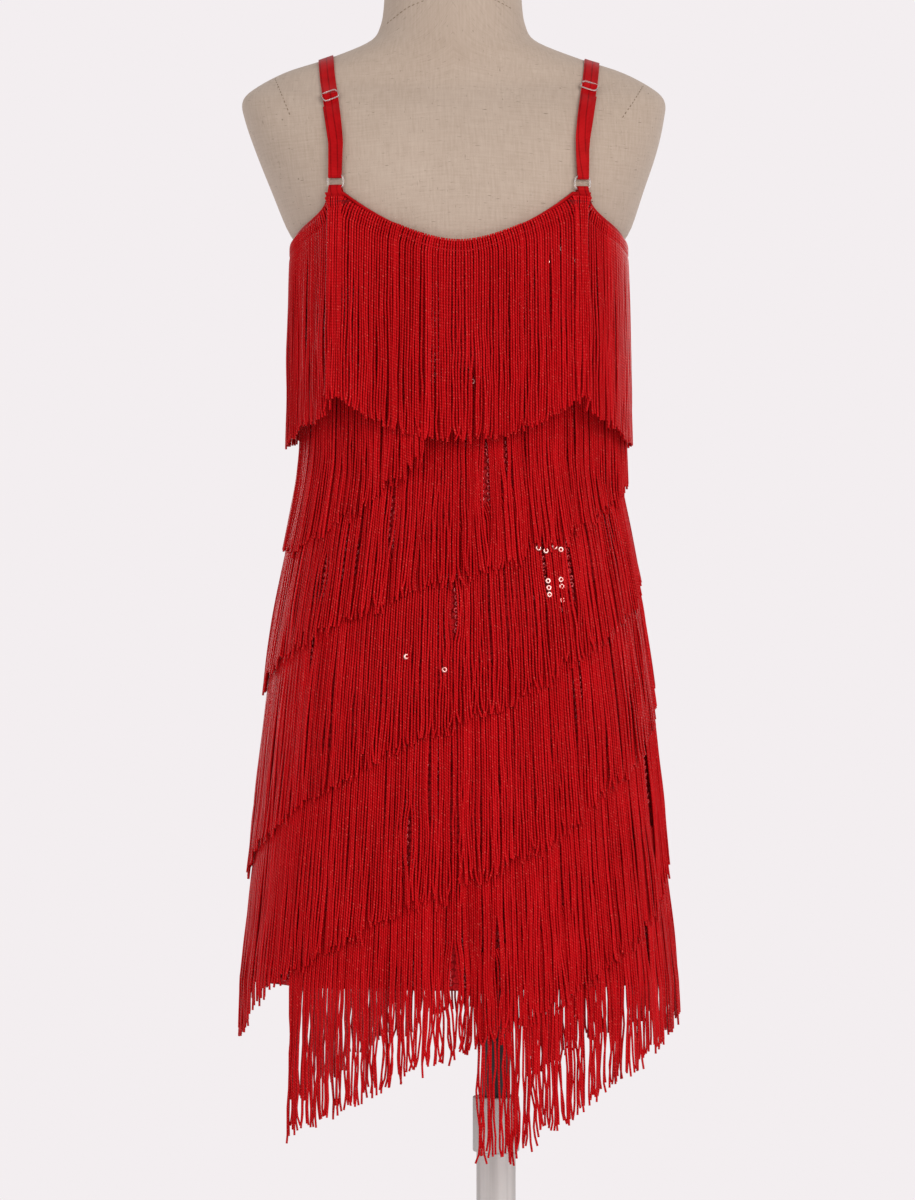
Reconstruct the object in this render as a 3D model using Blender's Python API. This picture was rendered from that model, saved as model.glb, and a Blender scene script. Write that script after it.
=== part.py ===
"""Girl's latin dance dress: tiers of cord fringe on a sequinned tube, on a limbless dress form.

Metres, +Z up. The origin is the centre of the base plate's underside, on the pole's axis.
The back of the dress, with its strap rings and sliders, faces -Y; +X is to the right seen so.
A turn is an angle in degrees round the body: 0 at the centre of a panel, -90 and 90 at its seams.
Run it with: blender --background --python part.py
"""
import math
from collections import namedtuple

import bmesh
import bpy
from mathutils import Vector

# ---------------------------------------------------------------- driving sizes
DRESS_X = -0.0278           # the dress and the form stand this far to the left of the pole
SEAM_TURN = 89.95           # a panel stops here, which leaves 0.3 mm at each side seam
GAP = 0.0003                # between pieces that touch
COLUMNS = 24                # stretches across one panel, 7.5 degrees each

CLOTH_WALL = 0.0012         # sequinned mesh
EASE = 0.0030               # from the form to the cloth's outer face
HEM_HEIGHT = 0.482
NECK_LOW = 1.027            # finished edge at the centre of back and front
SIDE_LOW = 1.029            # finished edge under the arm
EDGE_TOP = 1.0637           # finished edge at the straps
ARM_POWER = 1.1             # how the armhole's edge eases into the side seam
TAB_FROM, TAB_TO = 30.0, 37.5   # turns between which the strap tabs stand
BINDING_HEIGHT = 0.004
BINDING_OUT = 0.0006        # how far the binding stands out past the cloth, on both faces

STRING_LENGTH = 0.150       # of a fringe, with its header
FRINGE_WALL = 0.0018
FRINGE_ROWS = 3

STRAP_WIDTH = 0.0102
STRAP_WALL = 0.0010
STRAP_LIFT = 0.0010         # middle of the strap above the form
STRAP_X = {"ring": 0.0895, "top": 0.0992, "front": 0.0895}
STRAP_CENTRE_HEIGHT = 1.10  # straps are followed by an angle about this height
RING_HEIGHT = {"left": 1.0714, "right": 1.0704}
RING_HALF_WIDTH, RING_HALF_HEIGHT = 0.0054, 0.0050  # to the middle of its wire
RING_POWER = 4.0            # how square the ring is
RING_WIRE = 0.0007
RING_LIFT = 0.0026
RING_CLEAR = 0.0005         # from its wire to the strap or tab round it
LOOP_DROP = 0.0022          # from the ring's wire to the middle of the fold that hangs on it
LOOP_WIDTH = 0.0086
SLIDER_HEIGHT = {"left": 1.1330, "right": 1.1405}
SLIDER_WIDTH, SLIDER_LENGTH = 0.0126, 0.0105
SLIDER_WALL, SLIDER_BAR, SLIDER_SIDE = 0.0012, 0.0013, 0.0009
SLIDER_LIFT = 0.0030
STRAP_UNDER, STRAP_OVER = 0.0012, 0.0048    # lift under the slider's end bars and over its middle one

ROD_RADIUS, ROD_BOTTOM, ROD_TOP = 0.0108, 0.150, 0.598
SOCKET_RADIUS, SOCKET_HEIGHT = 0.032, 0.006
COLLAR_RADIUS, COLLAR_BOTTOM, COLLAR_TOP = 0.0175, 0.352, 0.393
TUBE_RADIUS, TUBE_BORE = 0.0147, 0.0113
BASE_RADIUS, BASE_THICKNESS, BASE_CHAMFER = 0.160, 0.008, 0.002
HUB_RADIUS, HUB_HEIGHT = 0.028, 0.020
ROUND_SEGMENTS = 40

# ---------------------------------------------------------------- tables
# The form: half width, depth to the back and to the front, how square each section is, and how
# far it leans to the side.
Figure = namedtuple("Figure", "height half_width back front power shift")
FIGURE = [
    Figure(0.600, 0.1000, 0.0780, 0.0760, 2.20, 0.0),
    Figure(0.618, 0.1140, 0.0880, 0.0840, 2.20, 0.0),
    Figure(0.660, 0.1240, 0.0940, 0.0890, 2.20, 0.0),
    Figure(0.720, 0.1310, 0.0960, 0.0910, 2.20, 0.0),
    Figure(0.790, 0.1240, 0.0890, 0.0850, 2.20, 0.0),
    Figure(0.850, 0.1145, 0.0770, 0.0780, 2.20, 0.0),
    Figure(0.895, 0.1100, 0.0720, 0.0760, 2.20, 0.0),
    Figure(0.955, 0.1115, 0.0760, 0.0820, 2.20, 0.0),
    Figure(1.000, 0.1170, 0.0820, 0.0880, 2.20, 0.0),
    Figure(1.028, 0.1205, 0.0850, 0.0890, 2.25, 0.0),
    Figure(1.042, 0.1285, 0.0860, 0.0880, 2.45, 0.0),
    Figure(1.070, 0.1390, 0.0860, 0.0840, 2.80, -0.0010),
    Figure(1.100, 0.1500, 0.0800, 0.0740, 3.00, -0.0020),
    Figure(1.125, 0.1570, 0.0680, 0.0620, 3.00, -0.0035),
    Figure(1.138, 0.1580, 0.0580, 0.0540, 2.80, -0.0040),
    Figure(1.147, 0.1500, 0.0510, 0.0490, 2.50, -0.0040),
    Figure(1.160, 0.1260, 0.0470, 0.0460, 2.20, -0.0040),
    Figure(1.170, 0.0950, 0.0470, 0.0470, 2.00, -0.0040),
    Figure(1.183, 0.0630, 0.0480, 0.0490, 2.00, -0.0045),
    Figure(1.195, 0.0545, 0.0480, 0.0500, 2.00, -0.0045),
    Figure(1.215, 0.0515, 0.0470, 0.0490, 2.00, -0.0045),
    Figure(1.245, 0.0500, 0.0460, 0.0480, 2.00, -0.0045),
]
# The skirt, where it hangs clear of the form: outer face of the cloth.
Skirt = namedtuple("Skirt", "height half_width back front")
SKIRT = [
    Skirt(0.482, 0.1585, 0.1120, 0.1140),
    Skirt(0.560, 0.1520, 0.1090, 0.1100),
    Skirt(0.640, 0.1455, 0.1060, 0.1050),
    Skirt(0.720, 0.1385, 0.1020, 0.0980),
    Skirt(0.790, 0.1280, 0.0940, 0.0900),
    Skirt(0.850, 0.1175, 0.0820, 0.0820),
    Skirt(0.895, 0.1130, 0.0750, 0.0790),
]
# The diagonal tiers: height of the header at the left seam, centre back, right seam and centre
# front, and the turns at which the tape starts and ends on each panel. Where the tape stops
# short of a place, the height there is that of its line drawn on.
Tier = namedtuple("Tier", "number left back right front back_from back_to front_from front_to")
TIERS = [
    Tier(2, 0.956, 1.047, 1.398, 1.047, -90.0, -22.5, -90.0, -22.5),
    Tier(3, 0.844, 0.931, 1.005, 0.945, -90.0, 90.0, -90.0, 90.0),
    Tier(4, 0.710, 0.826, 0.939, 0.840, -90.0, 90.0, -90.0, 90.0),
    Tier(5, 0.587, 0.708, 0.848, 0.724, -90.0, 90.0, -90.0, 90.0),
    Tier(6, 0.470, 0.589, 0.728, 0.602, -52.5, 90.0, -52.5, 90.0),
    Tier(7, 0.2725, 0.4975, 0.6125, 0.520, 7.5, 90.0, 15.0, 90.0),
]
Section = namedtuple("Section", "half_width back front power shift")

# ---------------------------------------------------------------- materials
Finish = namedtuple("Finish", "color roughness metallic")
FINISHES = {
    "cord_fringe": Finish((0.46, 0.008, 0.010), 0.55, 0.0),
    "sequin_cloth": Finish((0.30, 0.004, 0.007), 0.30, 0.0),
    "satin_elastic": Finish((0.55, 0.010, 0.012), 0.45, 0.0),
    "clear_plastic": Finish((0.80, 0.78, 0.76), 0.12, 0.0),
    "linen": Finish((0.58, 0.49, 0.39), 0.90, 0.0),
    "black_steel": Finish((0.02, 0.02, 0.022), 0.35, 0.0),
    "grey_steel": Finish((0.50, 0.49, 0.48), 0.45, 0.0),
}


def material(slot):
    """The slot's material, made when it is first asked for."""
    found = bpy.data.materials.get(slot)
    if found:
        return found
    made = bpy.data.materials.new(slot)
    made.use_nodes = True
    shader = made.node_tree.nodes["Principled BSDF"]
    finish = FINISHES[slot]
    shader.inputs["Base Color"].default_value = (*finish.color, 1.0)
    shader.inputs["Roughness"].default_value = finish.roughness
    shader.inputs["Metallic"].default_value = finish.metallic
    return made


def add_object(name, points, faces, slot, smooth_angle=35.0):
    """One closed piece from its points and faces, with its faces turned outwards."""
    mesh = bpy.data.meshes.new(name)
    mesh.from_pydata([tuple(point) for point in points], [], faces)
    shape = bmesh.new()
    shape.from_mesh(mesh)
    bmesh.ops.recalc_face_normals(shape, faces=shape.faces)
    bmesh.ops.triangulate(shape, faces=shape.faces)
    shape.to_mesh(mesh)
    shape.free()
    mesh.shade_smooth()
    mesh.set_sharp_from_angle(angle=math.radians(smooth_angle))
    mesh.materials.append(material(slot))
    piece = bpy.data.objects.new(name, mesh)
    bpy.context.collection.objects.link(piece)
    return piece


# ---------------------------------------------------------------- sections of form and cloth
def read_table(rows, height, columns):
    """Values of the named columns at a height, on a smooth curve through the rows."""
    height = min(max(height, rows[0].height), rows[-1].height)
    index = 0
    while index < len(rows) - 2 and height > rows[index + 1].height:
        index += 1
    before, low = rows[max(index - 1, 0)], rows[index]
    high, after = rows[index + 1], rows[min(index + 2, len(rows) - 1)]
    step = high.height - low.height
    t = (height - low.height) / step
    values = []
    for column in columns:
        v0, v1, v2, v3 = (getattr(row, column) for row in (before, low, high, after))
        rise_low = (v2 - v0) / (high.height - before.height) * step
        rise_high = (v3 - v1) / (after.height - low.height) * step
        values.append((2 * t**3 - 3 * t**2 + 1) * v1 + (t**3 - 2 * t**2 + t) * rise_low
                      + (3 * t**2 - 2 * t**3) * v2 + (t**3 - t**2) * rise_high)
    return values


def form_section(height):
    """The form's section at a height."""
    return Section(*read_table(FIGURE, height, Section._fields))


def cloth_section(height):
    """The cloth's outer face: on the form where the form fills it, on the skirt's flare below."""
    skirt = read_table(SKIRT, height, ("half_width", "back", "front"))
    if height > SKIRT[-1].height:
        skirt = (0.0, 0.0, 0.0)
    form = form_section(height)
    if height < FIGURE[0].height:
        form = form._replace(half_width=0.0, back=0.0, front=0.0)
    sizes = [max(own, under + EASE) for own, under in zip(skirt, form[:3])]
    return Section(*sizes, form.power, form.shift)


def hanging_section(height, head):
    """Where a string hangs that starts at head: straight down, or pushed out by the cloth."""
    steps = 10
    levels = [cloth_section(head + (height - head) * i / steps) for i in range(steps + 1)]
    widest = [max(level[column] for level in levels) for column in range(3)]
    return Section(*widest, levels[0].power, levels[0].shift)


def ring_point(section, turn, side, height, out):
    """A point on a section, moved out; side is 1 on the back panel and -1 on the front one."""
    across, along = math.sin(math.radians(turn)), math.cos(math.radians(turn))
    depth = section.back if side > 0 else section.front
    curve = 2.0 / section.power
    x = math.copysign(abs(across)**curve, across) * (section.half_width + out)
    y = -side * max(along, 0.0)**curve * (depth + out)
    return Vector((DRESS_X + section.shift + x, y, height))


def panel_turns(start=-90.0, end=90.0):
    """The turns of a panel's columns from start to end, kept inside the side seams."""
    step = 180.0 / COLUMNS
    turns = [-90.0 + step * i for i in range(COLUMNS + 1)]
    return [min(max(turn, -SEAM_TURN), SEAM_TURN) for turn in turns if start <= turn <= end]


def edge_height(turn):
    """The finished upper edge: neckline, level at the tab, then armhole."""
    turn = abs(turn)
    if turn < TAB_FROM:
        return NECK_LOW + (EDGE_TOP - NECK_LOW) * (turn / TAB_FROM)**1.75
    if turn <= TAB_TO:
        return EDGE_TOP
    part = min((turn - TAB_TO) / (90.0 - TAB_TO), 1.0)
    return SIDE_LOW + (EDGE_TOP - SIDE_LOW) * (1.0 - math.sqrt(part))**ARM_POWER


def edge_chord(turn):
    """The upper edge as the panels have it: straight from each column to the next."""
    step = 180.0 / COLUMNS
    column = math.floor(abs(turn) / step) * step
    part = (abs(turn) - column) / step
    return edge_height(column) * (1.0 - part) + edge_height(column + step) * part


def header_height(tier, turn, side):
    """A diagonal tier's header at a turn, on a parabola through its seams and its centre."""
    centre = tier.back if side > 0 else tier.front
    part = turn / 90.0
    bend = (tier.left + tier.right) / 2 - centre
    return centre + (tier.right - tier.left) / 2 * part + bend * part**2


# ---------------------------------------------------------------- cloth and fringe
def add_wall(name, columns, slot):
    """A closed wall from columns of (outer, inner) points, each column from top to bottom."""
    rows = len(columns[0])
    points = [pair[face] for face in (0, 1) for column in columns for pair in column]
    inner = len(columns) * rows
    faces = []
    for i in range(len(columns) - 1):
        for j in range(rows - 1):
            quad = [i * rows + j, (i + 1) * rows + j, (i + 1) * rows + j + 1, i * rows + j + 1]
            faces.append(quad)
            faces.append([inner + index for index in reversed(quad)])
        for j in (0, rows - 1):
            a, b = i * rows + j, (i + 1) * rows + j
            faces.append([a, b, inner + b, inner + a])
    for i in (0, len(columns) - 1):
        for j in range(rows - 1):
            a, b = i * rows + j, i * rows + j + 1
            faces.append([a, b, inner + b, inner + a])
    return add_object(name, points, faces, slot)


def add_panel(name, side):
    """Back or front of the sequinned tube, from the hem to under its binding."""
    levels = [HEM_HEIGHT, 0.545, 0.61, 0.68, 0.74, 0.79, 0.83, 0.86, 0.885, 0.91, 0.935, 0.97, 1.00]
    columns = []
    for turn in panel_turns():
        top = edge_height(turn) - BINDING_HEIGHT - GAP
        column = []
        for height in reversed(levels + [top]):
            section = cloth_section(height)
            column.append([ring_point(section, turn, side, height, out) for out in (0.0, -CLOTH_WALL)])
        columns.append(column)
    add_wall(name, columns, "sequin_cloth")


def add_binding(name, side, turns):
    """The elastic that caps the cloth's edge between two turns."""
    columns = []
    for turn in turns:
        top = edge_chord(turn)
        column = []
        for height in (top, top - BINDING_HEIGHT):
            outs = (BINDING_OUT, -CLOTH_WALL - BINDING_OUT)
            section = cloth_section(height)
            column.append([ring_point(section, turn, side, height, out) for out in outs])
        columns.append(column)
    add_wall(name, columns, "satin_elastic")


def add_bindings():
    """Neckline bindings on back and front, and one half of each armhole's on each panel."""
    for label, side in (("back", 1), ("front", -1)):
        neck = [turn for turn in panel_turns() if abs(turn) <= TAB_TO]
        add_binding(f"binding_neck_{label}", side, neck)
        for arm, sign in (("left", -1), ("right", 1)):
            start = TAB_TO + 0.2
            turns = [start] + [turn for turn in panel_turns() if turn > TAB_TO + 1.0]
            add_binding(f"binding_arm_{label}_{arm}", side, [sign * turn for turn in turns])


def add_fringe(name, side, turns, head_at, lift_at):
    """The plain wall that a fringe's strings hang in, from its header to the string ends."""
    columns = []
    for turn in turns:
        head = head_at(turn)
        column = []
        for row in range(FRINGE_ROWS + 1):
            drop = STRING_LENGTH * row / FRINGE_ROWS
            section = hanging_section(head - drop, head)
            inner = lift_at(drop)
            outs = (inner + FRINGE_WALL, inner)
            column.append([ring_point(section, turn, side, head - drop, out) for out in outs])
        columns.append(column)
    add_wall(name, columns, "cord_fringe")


def add_fringes():
    """The top tier along the upper edge, and the diagonal tiers, each over the next one's header."""
    def top_head(turn):
        return edge_height(turn) - 0.0015

    def top_lift(drop):
        return 0.0010 + 0.0040 * math.sqrt(drop / STRING_LENGTH)

    def tier_lift(drop):
        return 0.0010 + 0.0050 * drop / STRING_LENGTH

    for label, side in (("back", 1), ("front", -1)):
        add_fringe(f"fringe_1_{label}", side, panel_turns(), top_head, top_lift)
        for tier in TIERS:
            start = tier.back_from if side > 0 else tier.front_from
            end = tier.back_to if side > 0 else tier.front_to
            add_fringe(f"fringe_{tier.number}_{label}", side, panel_turns(start, end),
                       lambda turn, row=tier: header_height(row, turn, side), tier_lift)


# ---------------------------------------------------------------- straps, tabs, rings, sliders
def outside(x, y, height):
    """Above 0 outside the form, below 0 inside it."""
    section = form_section(height)
    depth = section.back if y < 0 else section.front
    across = abs((x - DRESS_X - section.shift) / section.half_width)**section.power
    return across + abs(y / depth)**section.power - 1.0


def form_point(x, angle):
    """The form's surface at x, at an angle in degrees about the strap centre: 90 is straight up."""
    near, far = 0.0, 0.13
    down, up = math.cos(math.radians(angle)), math.sin(math.radians(angle))
    for _ in range(40):
        middle = (near + far) / 2
        if outside(x, -middle * down, STRAP_CENTRE_HEIGHT + middle * up) > 0:
            far = middle
        else:
            near = middle
    return Vector((x, -near * down, STRAP_CENTRE_HEIGHT + near * up))


def form_normal(point):
    """The outward direction of the form's surface at a point."""
    step = 0.0005
    slope = []
    for axis in range(3):
        ahead, behind = point.copy(), point.copy()
        ahead[axis] += step
        behind[axis] -= step
        slope.append(outside(*ahead) - outside(*behind))
    return Vector(slope).normalized()


def strap_track(sign):
    """Points, normals and lengths along the form under a strap, from its ring to its front end."""
    first, last, count = -30.0, 212.0, 122
    track = []
    length = 0.0
    for i in range(count):
        angle = first + (last - first) * i / (count - 1)
        rise = math.sin(math.radians(min(max(angle, 0.0), 180.0)))
        end = "ring" if angle < 90.0 else "front"
        reach = STRAP_X[end] + (STRAP_X["top"] - STRAP_X[end]) * rise
        point = form_point(DRESS_X + sign * reach, angle)
        if track:
            length += (point - track[-1][0]).length
        track.append((point, form_normal(point), length))
    return track


def length_at(track, height):
    """Length along a track at which it first reaches a height."""
    for (low, _, start), (high, _, end) in zip(track, track[1:]):
        if low.z <= height <= high.z:
            return start + (end - start) * (height - low.z) / (high.z - low.z)
    raise ValueError("the track does not reach this height")


def frame_at(track, length):
    """Point, normal, direction and width direction of a track at a length along it."""
    index = 1
    while index < len(track) - 1 and track[index][2] < length:
        index += 1
    (low, low_normal, start), (high, high_normal, end) = track[index - 1], track[index]
    part = (length - start) / (end - start)
    direction = (high - low).normalized()
    normal = low_normal.lerp(high_normal, part)
    normal = (normal - direction * normal.dot(direction)).normalized()
    return low.lerp(high, part), normal, direction, normal.cross(direction).normalized()


def add_ribbon(name, stations, wall, slot):
    """A flat strip through stations of (middle, width direction, width)."""
    points = []
    for i, (middle, across, width) in enumerate(stations):
        normal = across.cross(tangent(stations, i)).normalized()
        for side, face in ((-1, -1), (1, -1), (1, 1), (-1, 1)):
            points.append(middle + across * (side * width / 2) + normal * (face * wall / 2))
    faces = [[3, 2, 1, 0], [len(points) - 4 + i for i in range(4)]]
    for i in range(len(stations) - 1):
        for j in range(4):
            a, b = 4 * i + j, 4 * i + (j + 1) % 4
            faces.append([a, b, b + 4, a + 4])
    return add_object(name, points, faces, slot)


def loop_stations(track, ring, ring_end, sign_up, inner_end, outer_start, width_at):
    """Stations of a strip that comes along the form, turns round the ring's wire and goes back.

    ring is the length along the track at the ring's centre. sign_up is 1 for the strap, which
    leaves the ring upwards, and -1 for the tab below it.
    """
    point, normal, direction, across = frame_at(track, ring)
    reach = RING_WIRE + RING_CLEAR + STRAP_WALL / 2
    count = 8
    wire = point + normal * RING_LIFT + direction * sign_up * RING_HALF_HEIGHT
    stations = []
    for i in range(5):
        along = inner_end + (ring_end - inner_end) * i / 5
        spot, out, _, side = frame_at(track, along)
        middle = spot + out * (RING_LIFT - reach)
        stations.append((middle, side, width_at(along)))
    for i in range(count + 1):
        bend = math.pi * i / count
        drop = direction * sign_up * LOOP_DROP * math.sin(bend)
        middle = wire - normal * reach * math.cos(bend) - drop
        stations.append((middle, across, width_at(ring_end)))
    for i in range(1, 6):
        along = ring_end + (outer_start - ring_end) * i / 5
        spot, out, _, side = frame_at(track, along)
        part = i / 5
        lift = (RING_LIFT + reach) * (1 - part) + (STRAP_LIFT + 0.0012) * part
        lift = lift if sign_up > 0 else RING_LIFT + reach
        stations.append((spot + out * lift, side, width_at(along)))
    return stations


def add_strap(label, sign):
    """Elastic strap: doubled from the ring to the slider, then single over the shoulder."""
    track = strap_track(sign)
    ring = length_at(track, RING_HEIGHT[label])
    wire_top = ring + RING_HALF_HEIGHT
    slider = length_at(track, SLIDER_HEIGHT[label])
    half = SLIDER_LENGTH / 2

    def width_at(along):
        return LOOP_WIDTH + (STRAP_WIDTH - LOOP_WIDTH) * min((along - wire_top) / 0.006, 1.0)
    stations = loop_stations(track, ring, wire_top, 1, slider - half - 0.003,
                             slider - half - 0.006, width_at)
    along = slider - half - 0.003
    total = front_end(track)
    while along < total:
        point, normal, _, across = frame_at(track, along)
        near = abs(along - slider)
        lift = STRAP_UNDER if near < half + 0.004 else STRAP_LIFT
        if near < half - SLIDER_BAR / 2:
            wave = 0.5 + 0.5 * math.cos(math.pi * near / (half - SLIDER_BAR / 2))
            lift = STRAP_UNDER + (STRAP_OVER - STRAP_UNDER) * wave
        stations.append((point + normal * lift, across, STRAP_WIDTH))
        along += 0.0007 if near < half + 0.001 else 0.004
    point, normal, _, across = frame_at(track, total)
    stations.append((point + normal * STRAP_LIFT, across, STRAP_WIDTH))
    add_ribbon(f"strap_{label}", stations, STRAP_WALL, "satin_elastic")
    return track, slider


def tangent(stations, index):
    """Direction of a strip at one of its stations, from its neighbours."""
    before = stations[max(index - 1, 0)][0]
    after = stations[min(index + 1, len(stations) - 1)][0]
    return (after - before).normalized()


def front_end(track):
    """Length along a track at which the strap meets the front edge's binding."""
    for (high, _, start), (low, _, end) in zip(track, track[1:]):
        if high.y > 0 and low.z <= EDGE_TOP + 2 * GAP:
            return start
    raise ValueError("the track ends above the front edge")


def add_tab(label, track):
    """Short loop of satin elastic that holds the ring on the edge of the dress."""
    ring = length_at(track, RING_HEIGHT[label])
    wire_low = ring - RING_HALF_HEIGHT
    foot = length_at(track, EDGE_TOP + 3 * GAP)
    wide = 0.0125

    def width_at(along):
        part = min(max((wire_low - along) / (wire_low - foot), 0.0), 1.0)
        return LOOP_WIDTH + (wide - LOOP_WIDTH) * part
    stations = loop_stations(track, ring, wire_low, -1, foot, foot, width_at)
    add_ribbon(f"tab_{label}", stations, STRAP_WALL * 0.9, "satin_elastic")


def add_ring(label, track):
    """Rounded wire ring between the strap and its tab, lying flat on the back."""
    point, normal, direction, across = frame_at(track, length_at(track, RING_HEIGHT[label]))
    centre = point + normal * RING_LIFT
    major, minor = 28, 8
    points, faces = [], []
    for i in range(major):
        turn = 2 * math.pi * i / major
        x, y = math.cos(turn), math.sin(turn)
        middle = (across * math.copysign(abs(x)**(2 / RING_POWER), x) * RING_HALF_WIDTH
                  + direction * math.copysign(abs(y)**(2 / RING_POWER), y) * RING_HALF_HEIGHT)
        spoke = middle.normalized()
        for j in range(minor):
            roll = 2 * math.pi * j / minor
            wire = spoke * math.cos(roll) + normal * math.sin(roll)
            points.append(centre + middle + wire * RING_WIRE)
            i2, j2 = (i + 1) % major, (j + 1) % minor
            faces.append([i * minor + j, i2 * minor + j, i2 * minor + j2, i * minor + j2])
    add_object(f"ring_{label}", points, faces, "clear_plastic")


def add_slider(label, track, slider):
    """Figure-of-eight strap adjuster: a plate with two slots."""
    point, normal, direction, across = frame_at(track, slider)
    half_width, half_length = SLIDER_WIDTH / 2, SLIDER_LENGTH / 2
    xs = [-half_width, -half_width + SLIDER_SIDE, half_width - SLIDER_SIDE, half_width]
    ys = [-half_length, -half_length + SLIDER_BAR, -SLIDER_BAR / 2,
          SLIDER_BAR / 2, half_length - SLIDER_BAR, half_length]
    points, faces = [], []
    for lift in (SLIDER_LIFT - SLIDER_WALL / 2, SLIDER_LIFT + SLIDER_WALL / 2):
        for y in ys:
            points += [point + normal * lift + across * x + direction * y for x in xs]
    layer = len(xs) * len(ys)
    slots = {(1, 1), (1, 3)}
    for j in range(len(ys) - 1):
        for i in range(len(xs) - 1):
            a = j * len(xs) + i
            quad = [a, a + 1, a + 1 + len(xs), a + len(xs)]
            if (i, j) not in slots:
                faces += [quad, [index + layer for index in reversed(quad)]]
                continue
            for a, b in zip(quad, quad[1:] + quad[:1]):
                faces.append([a, b, b + layer, a + layer])
    last_x, last_y = len(xs) - 1, len(ys) - 1
    rim = [i for i in range(last_x)] + [j * len(xs) + last_x for j in range(last_y)]
    rim += [last_y * len(xs) + i for i in range(last_x, 0, -1)]
    rim += [j * len(xs) for j in range(last_y, 0, -1)]
    for a, b in zip(rim, rim[1:] + rim[:1]):
        faces.append([a, b, b + layer, a + layer])
    add_object(f"slider_{label}", points, faces, "clear_plastic")


def add_straps():
    """Both straps with their sliders, rings and tabs."""
    for label, sign in (("left", -1), ("right", 1)):
        track, slider = add_strap(label, sign)
        add_slider(label, track, slider)
        add_ring(label, track)
        add_tab(label, track)


# ---------------------------------------------------------------- form and stand
def add_form():
    """The limbless form, lofted from its base to the top of its neck."""
    around = 2 * COLUMNS
    points, faces = [], []
    for row in FIGURE:
        for i in range(around):
            turn = 360.0 * i / around - 90.0
            side = 1 if turn <= 90.0 else -1
            turn = turn if side > 0 else 180.0 - turn
            points.append(ring_point(form_section(row.height), turn, side, row.height, 0.0))
    for j in range(len(FIGURE) - 1):
        for i in range(around):
            a, b = j * around + i, j * around + (i + 1) % around
            faces.append([a, b, b + around, a + around])
    faces.append(list(reversed(range(around))))
    faces.append([len(points) - around + i for i in range(around)])
    add_object("dress_form", points, faces, "linen", 50.0)


def add_turned(name, profile, slot, bored=False):
    """A round piece about the pole's axis, from (radius, height) points; bored ones are rings."""
    points, faces = [], []
    for radius, height in profile:
        for i in range(ROUND_SEGMENTS):
            turn = 2 * math.pi * i / ROUND_SEGMENTS
            points.append((radius * math.cos(turn), radius * math.sin(turn), height))
    count = len(profile)
    for j in range(count if bored else count - 1):
        k = (j + 1) % count
        for i in range(ROUND_SEGMENTS):
            i2 = (i + 1) % ROUND_SEGMENTS
            faces.append([j * ROUND_SEGMENTS + i, j * ROUND_SEGMENTS + i2,
                          k * ROUND_SEGMENTS + i2, k * ROUND_SEGMENTS + i])
    if not bored:
        faces.append(list(range(ROUND_SEGMENTS)))
        faces.append([(count - 1) * ROUND_SEGMENTS + i for i in range(ROUND_SEGMENTS)])
    add_object(name, points, faces, slot)


def add_stand():
    """Base plate with its hub, grey tube, collar, black rod and the socket under the form."""
    add_turned("stand_base", [
        (BASE_RADIUS, 0.0), (BASE_RADIUS, BASE_THICKNESS - BASE_CHAMFER),
        (BASE_RADIUS - BASE_CHAMFER, BASE_THICKNESS), (HUB_RADIUS, BASE_THICKNESS),
        (HUB_RADIUS, HUB_HEIGHT), (TUBE_RADIUS + GAP, HUB_HEIGHT),
        (TUBE_RADIUS + GAP, BASE_THICKNESS)], "grey_steel")
    add_turned("stand_tube", [
        (TUBE_RADIUS, BASE_THICKNESS + GAP), (TUBE_RADIUS, COLLAR_BOTTOM - GAP),
        (TUBE_BORE, COLLAR_BOTTOM - GAP), (TUBE_BORE, BASE_THICKNESS + GAP)], "grey_steel", True)
    add_turned("stand_collar", [
        (COLLAR_RADIUS, COLLAR_BOTTOM), (COLLAR_RADIUS, COLLAR_TOP),
        (ROD_RADIUS + GAP, COLLAR_TOP), (ROD_RADIUS + GAP, COLLAR_BOTTOM)], "grey_steel", True)
    add_turned("stand_rod", [(ROD_RADIUS, ROD_BOTTOM), (ROD_RADIUS, ROD_TOP)], "black_steel")
    socket_top = FIGURE[0].height - GAP
    add_turned("form_socket", [
        (SOCKET_RADIUS, socket_top - SOCKET_HEIGHT), (SOCKET_RADIUS, socket_top),
        (ROD_RADIUS + GAP, socket_top), (ROD_RADIUS + GAP, socket_top - SOCKET_HEIGHT)],
        "black_steel", True)


def build():
    """Clear the scene and make every piece."""
    for old in list(bpy.data.objects):
        bpy.data.objects.remove(old, do_unlink=True)
    add_form()
    add_stand()
    add_panel("cloth_back", 1)
    add_panel("cloth_front", -1)
    add_bindings()
    add_fringes()
    add_straps()


build()
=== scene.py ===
# %% [markdown]
# # A girl's latin dance dress on its dress form
# The real dress is a tube of sequinned stretch mesh. Seven lengths of cord fringe are sewn on it:
# one along the whole upper edge and six on the slant. It hangs from two thin satin straps. The
# form under it is padded linen on a steel pole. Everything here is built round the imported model,
# which gives every place and size, in metres with +Z up, and the back of the dress facing -Y.

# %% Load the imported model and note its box
import math
from collections import namedtuple

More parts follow.
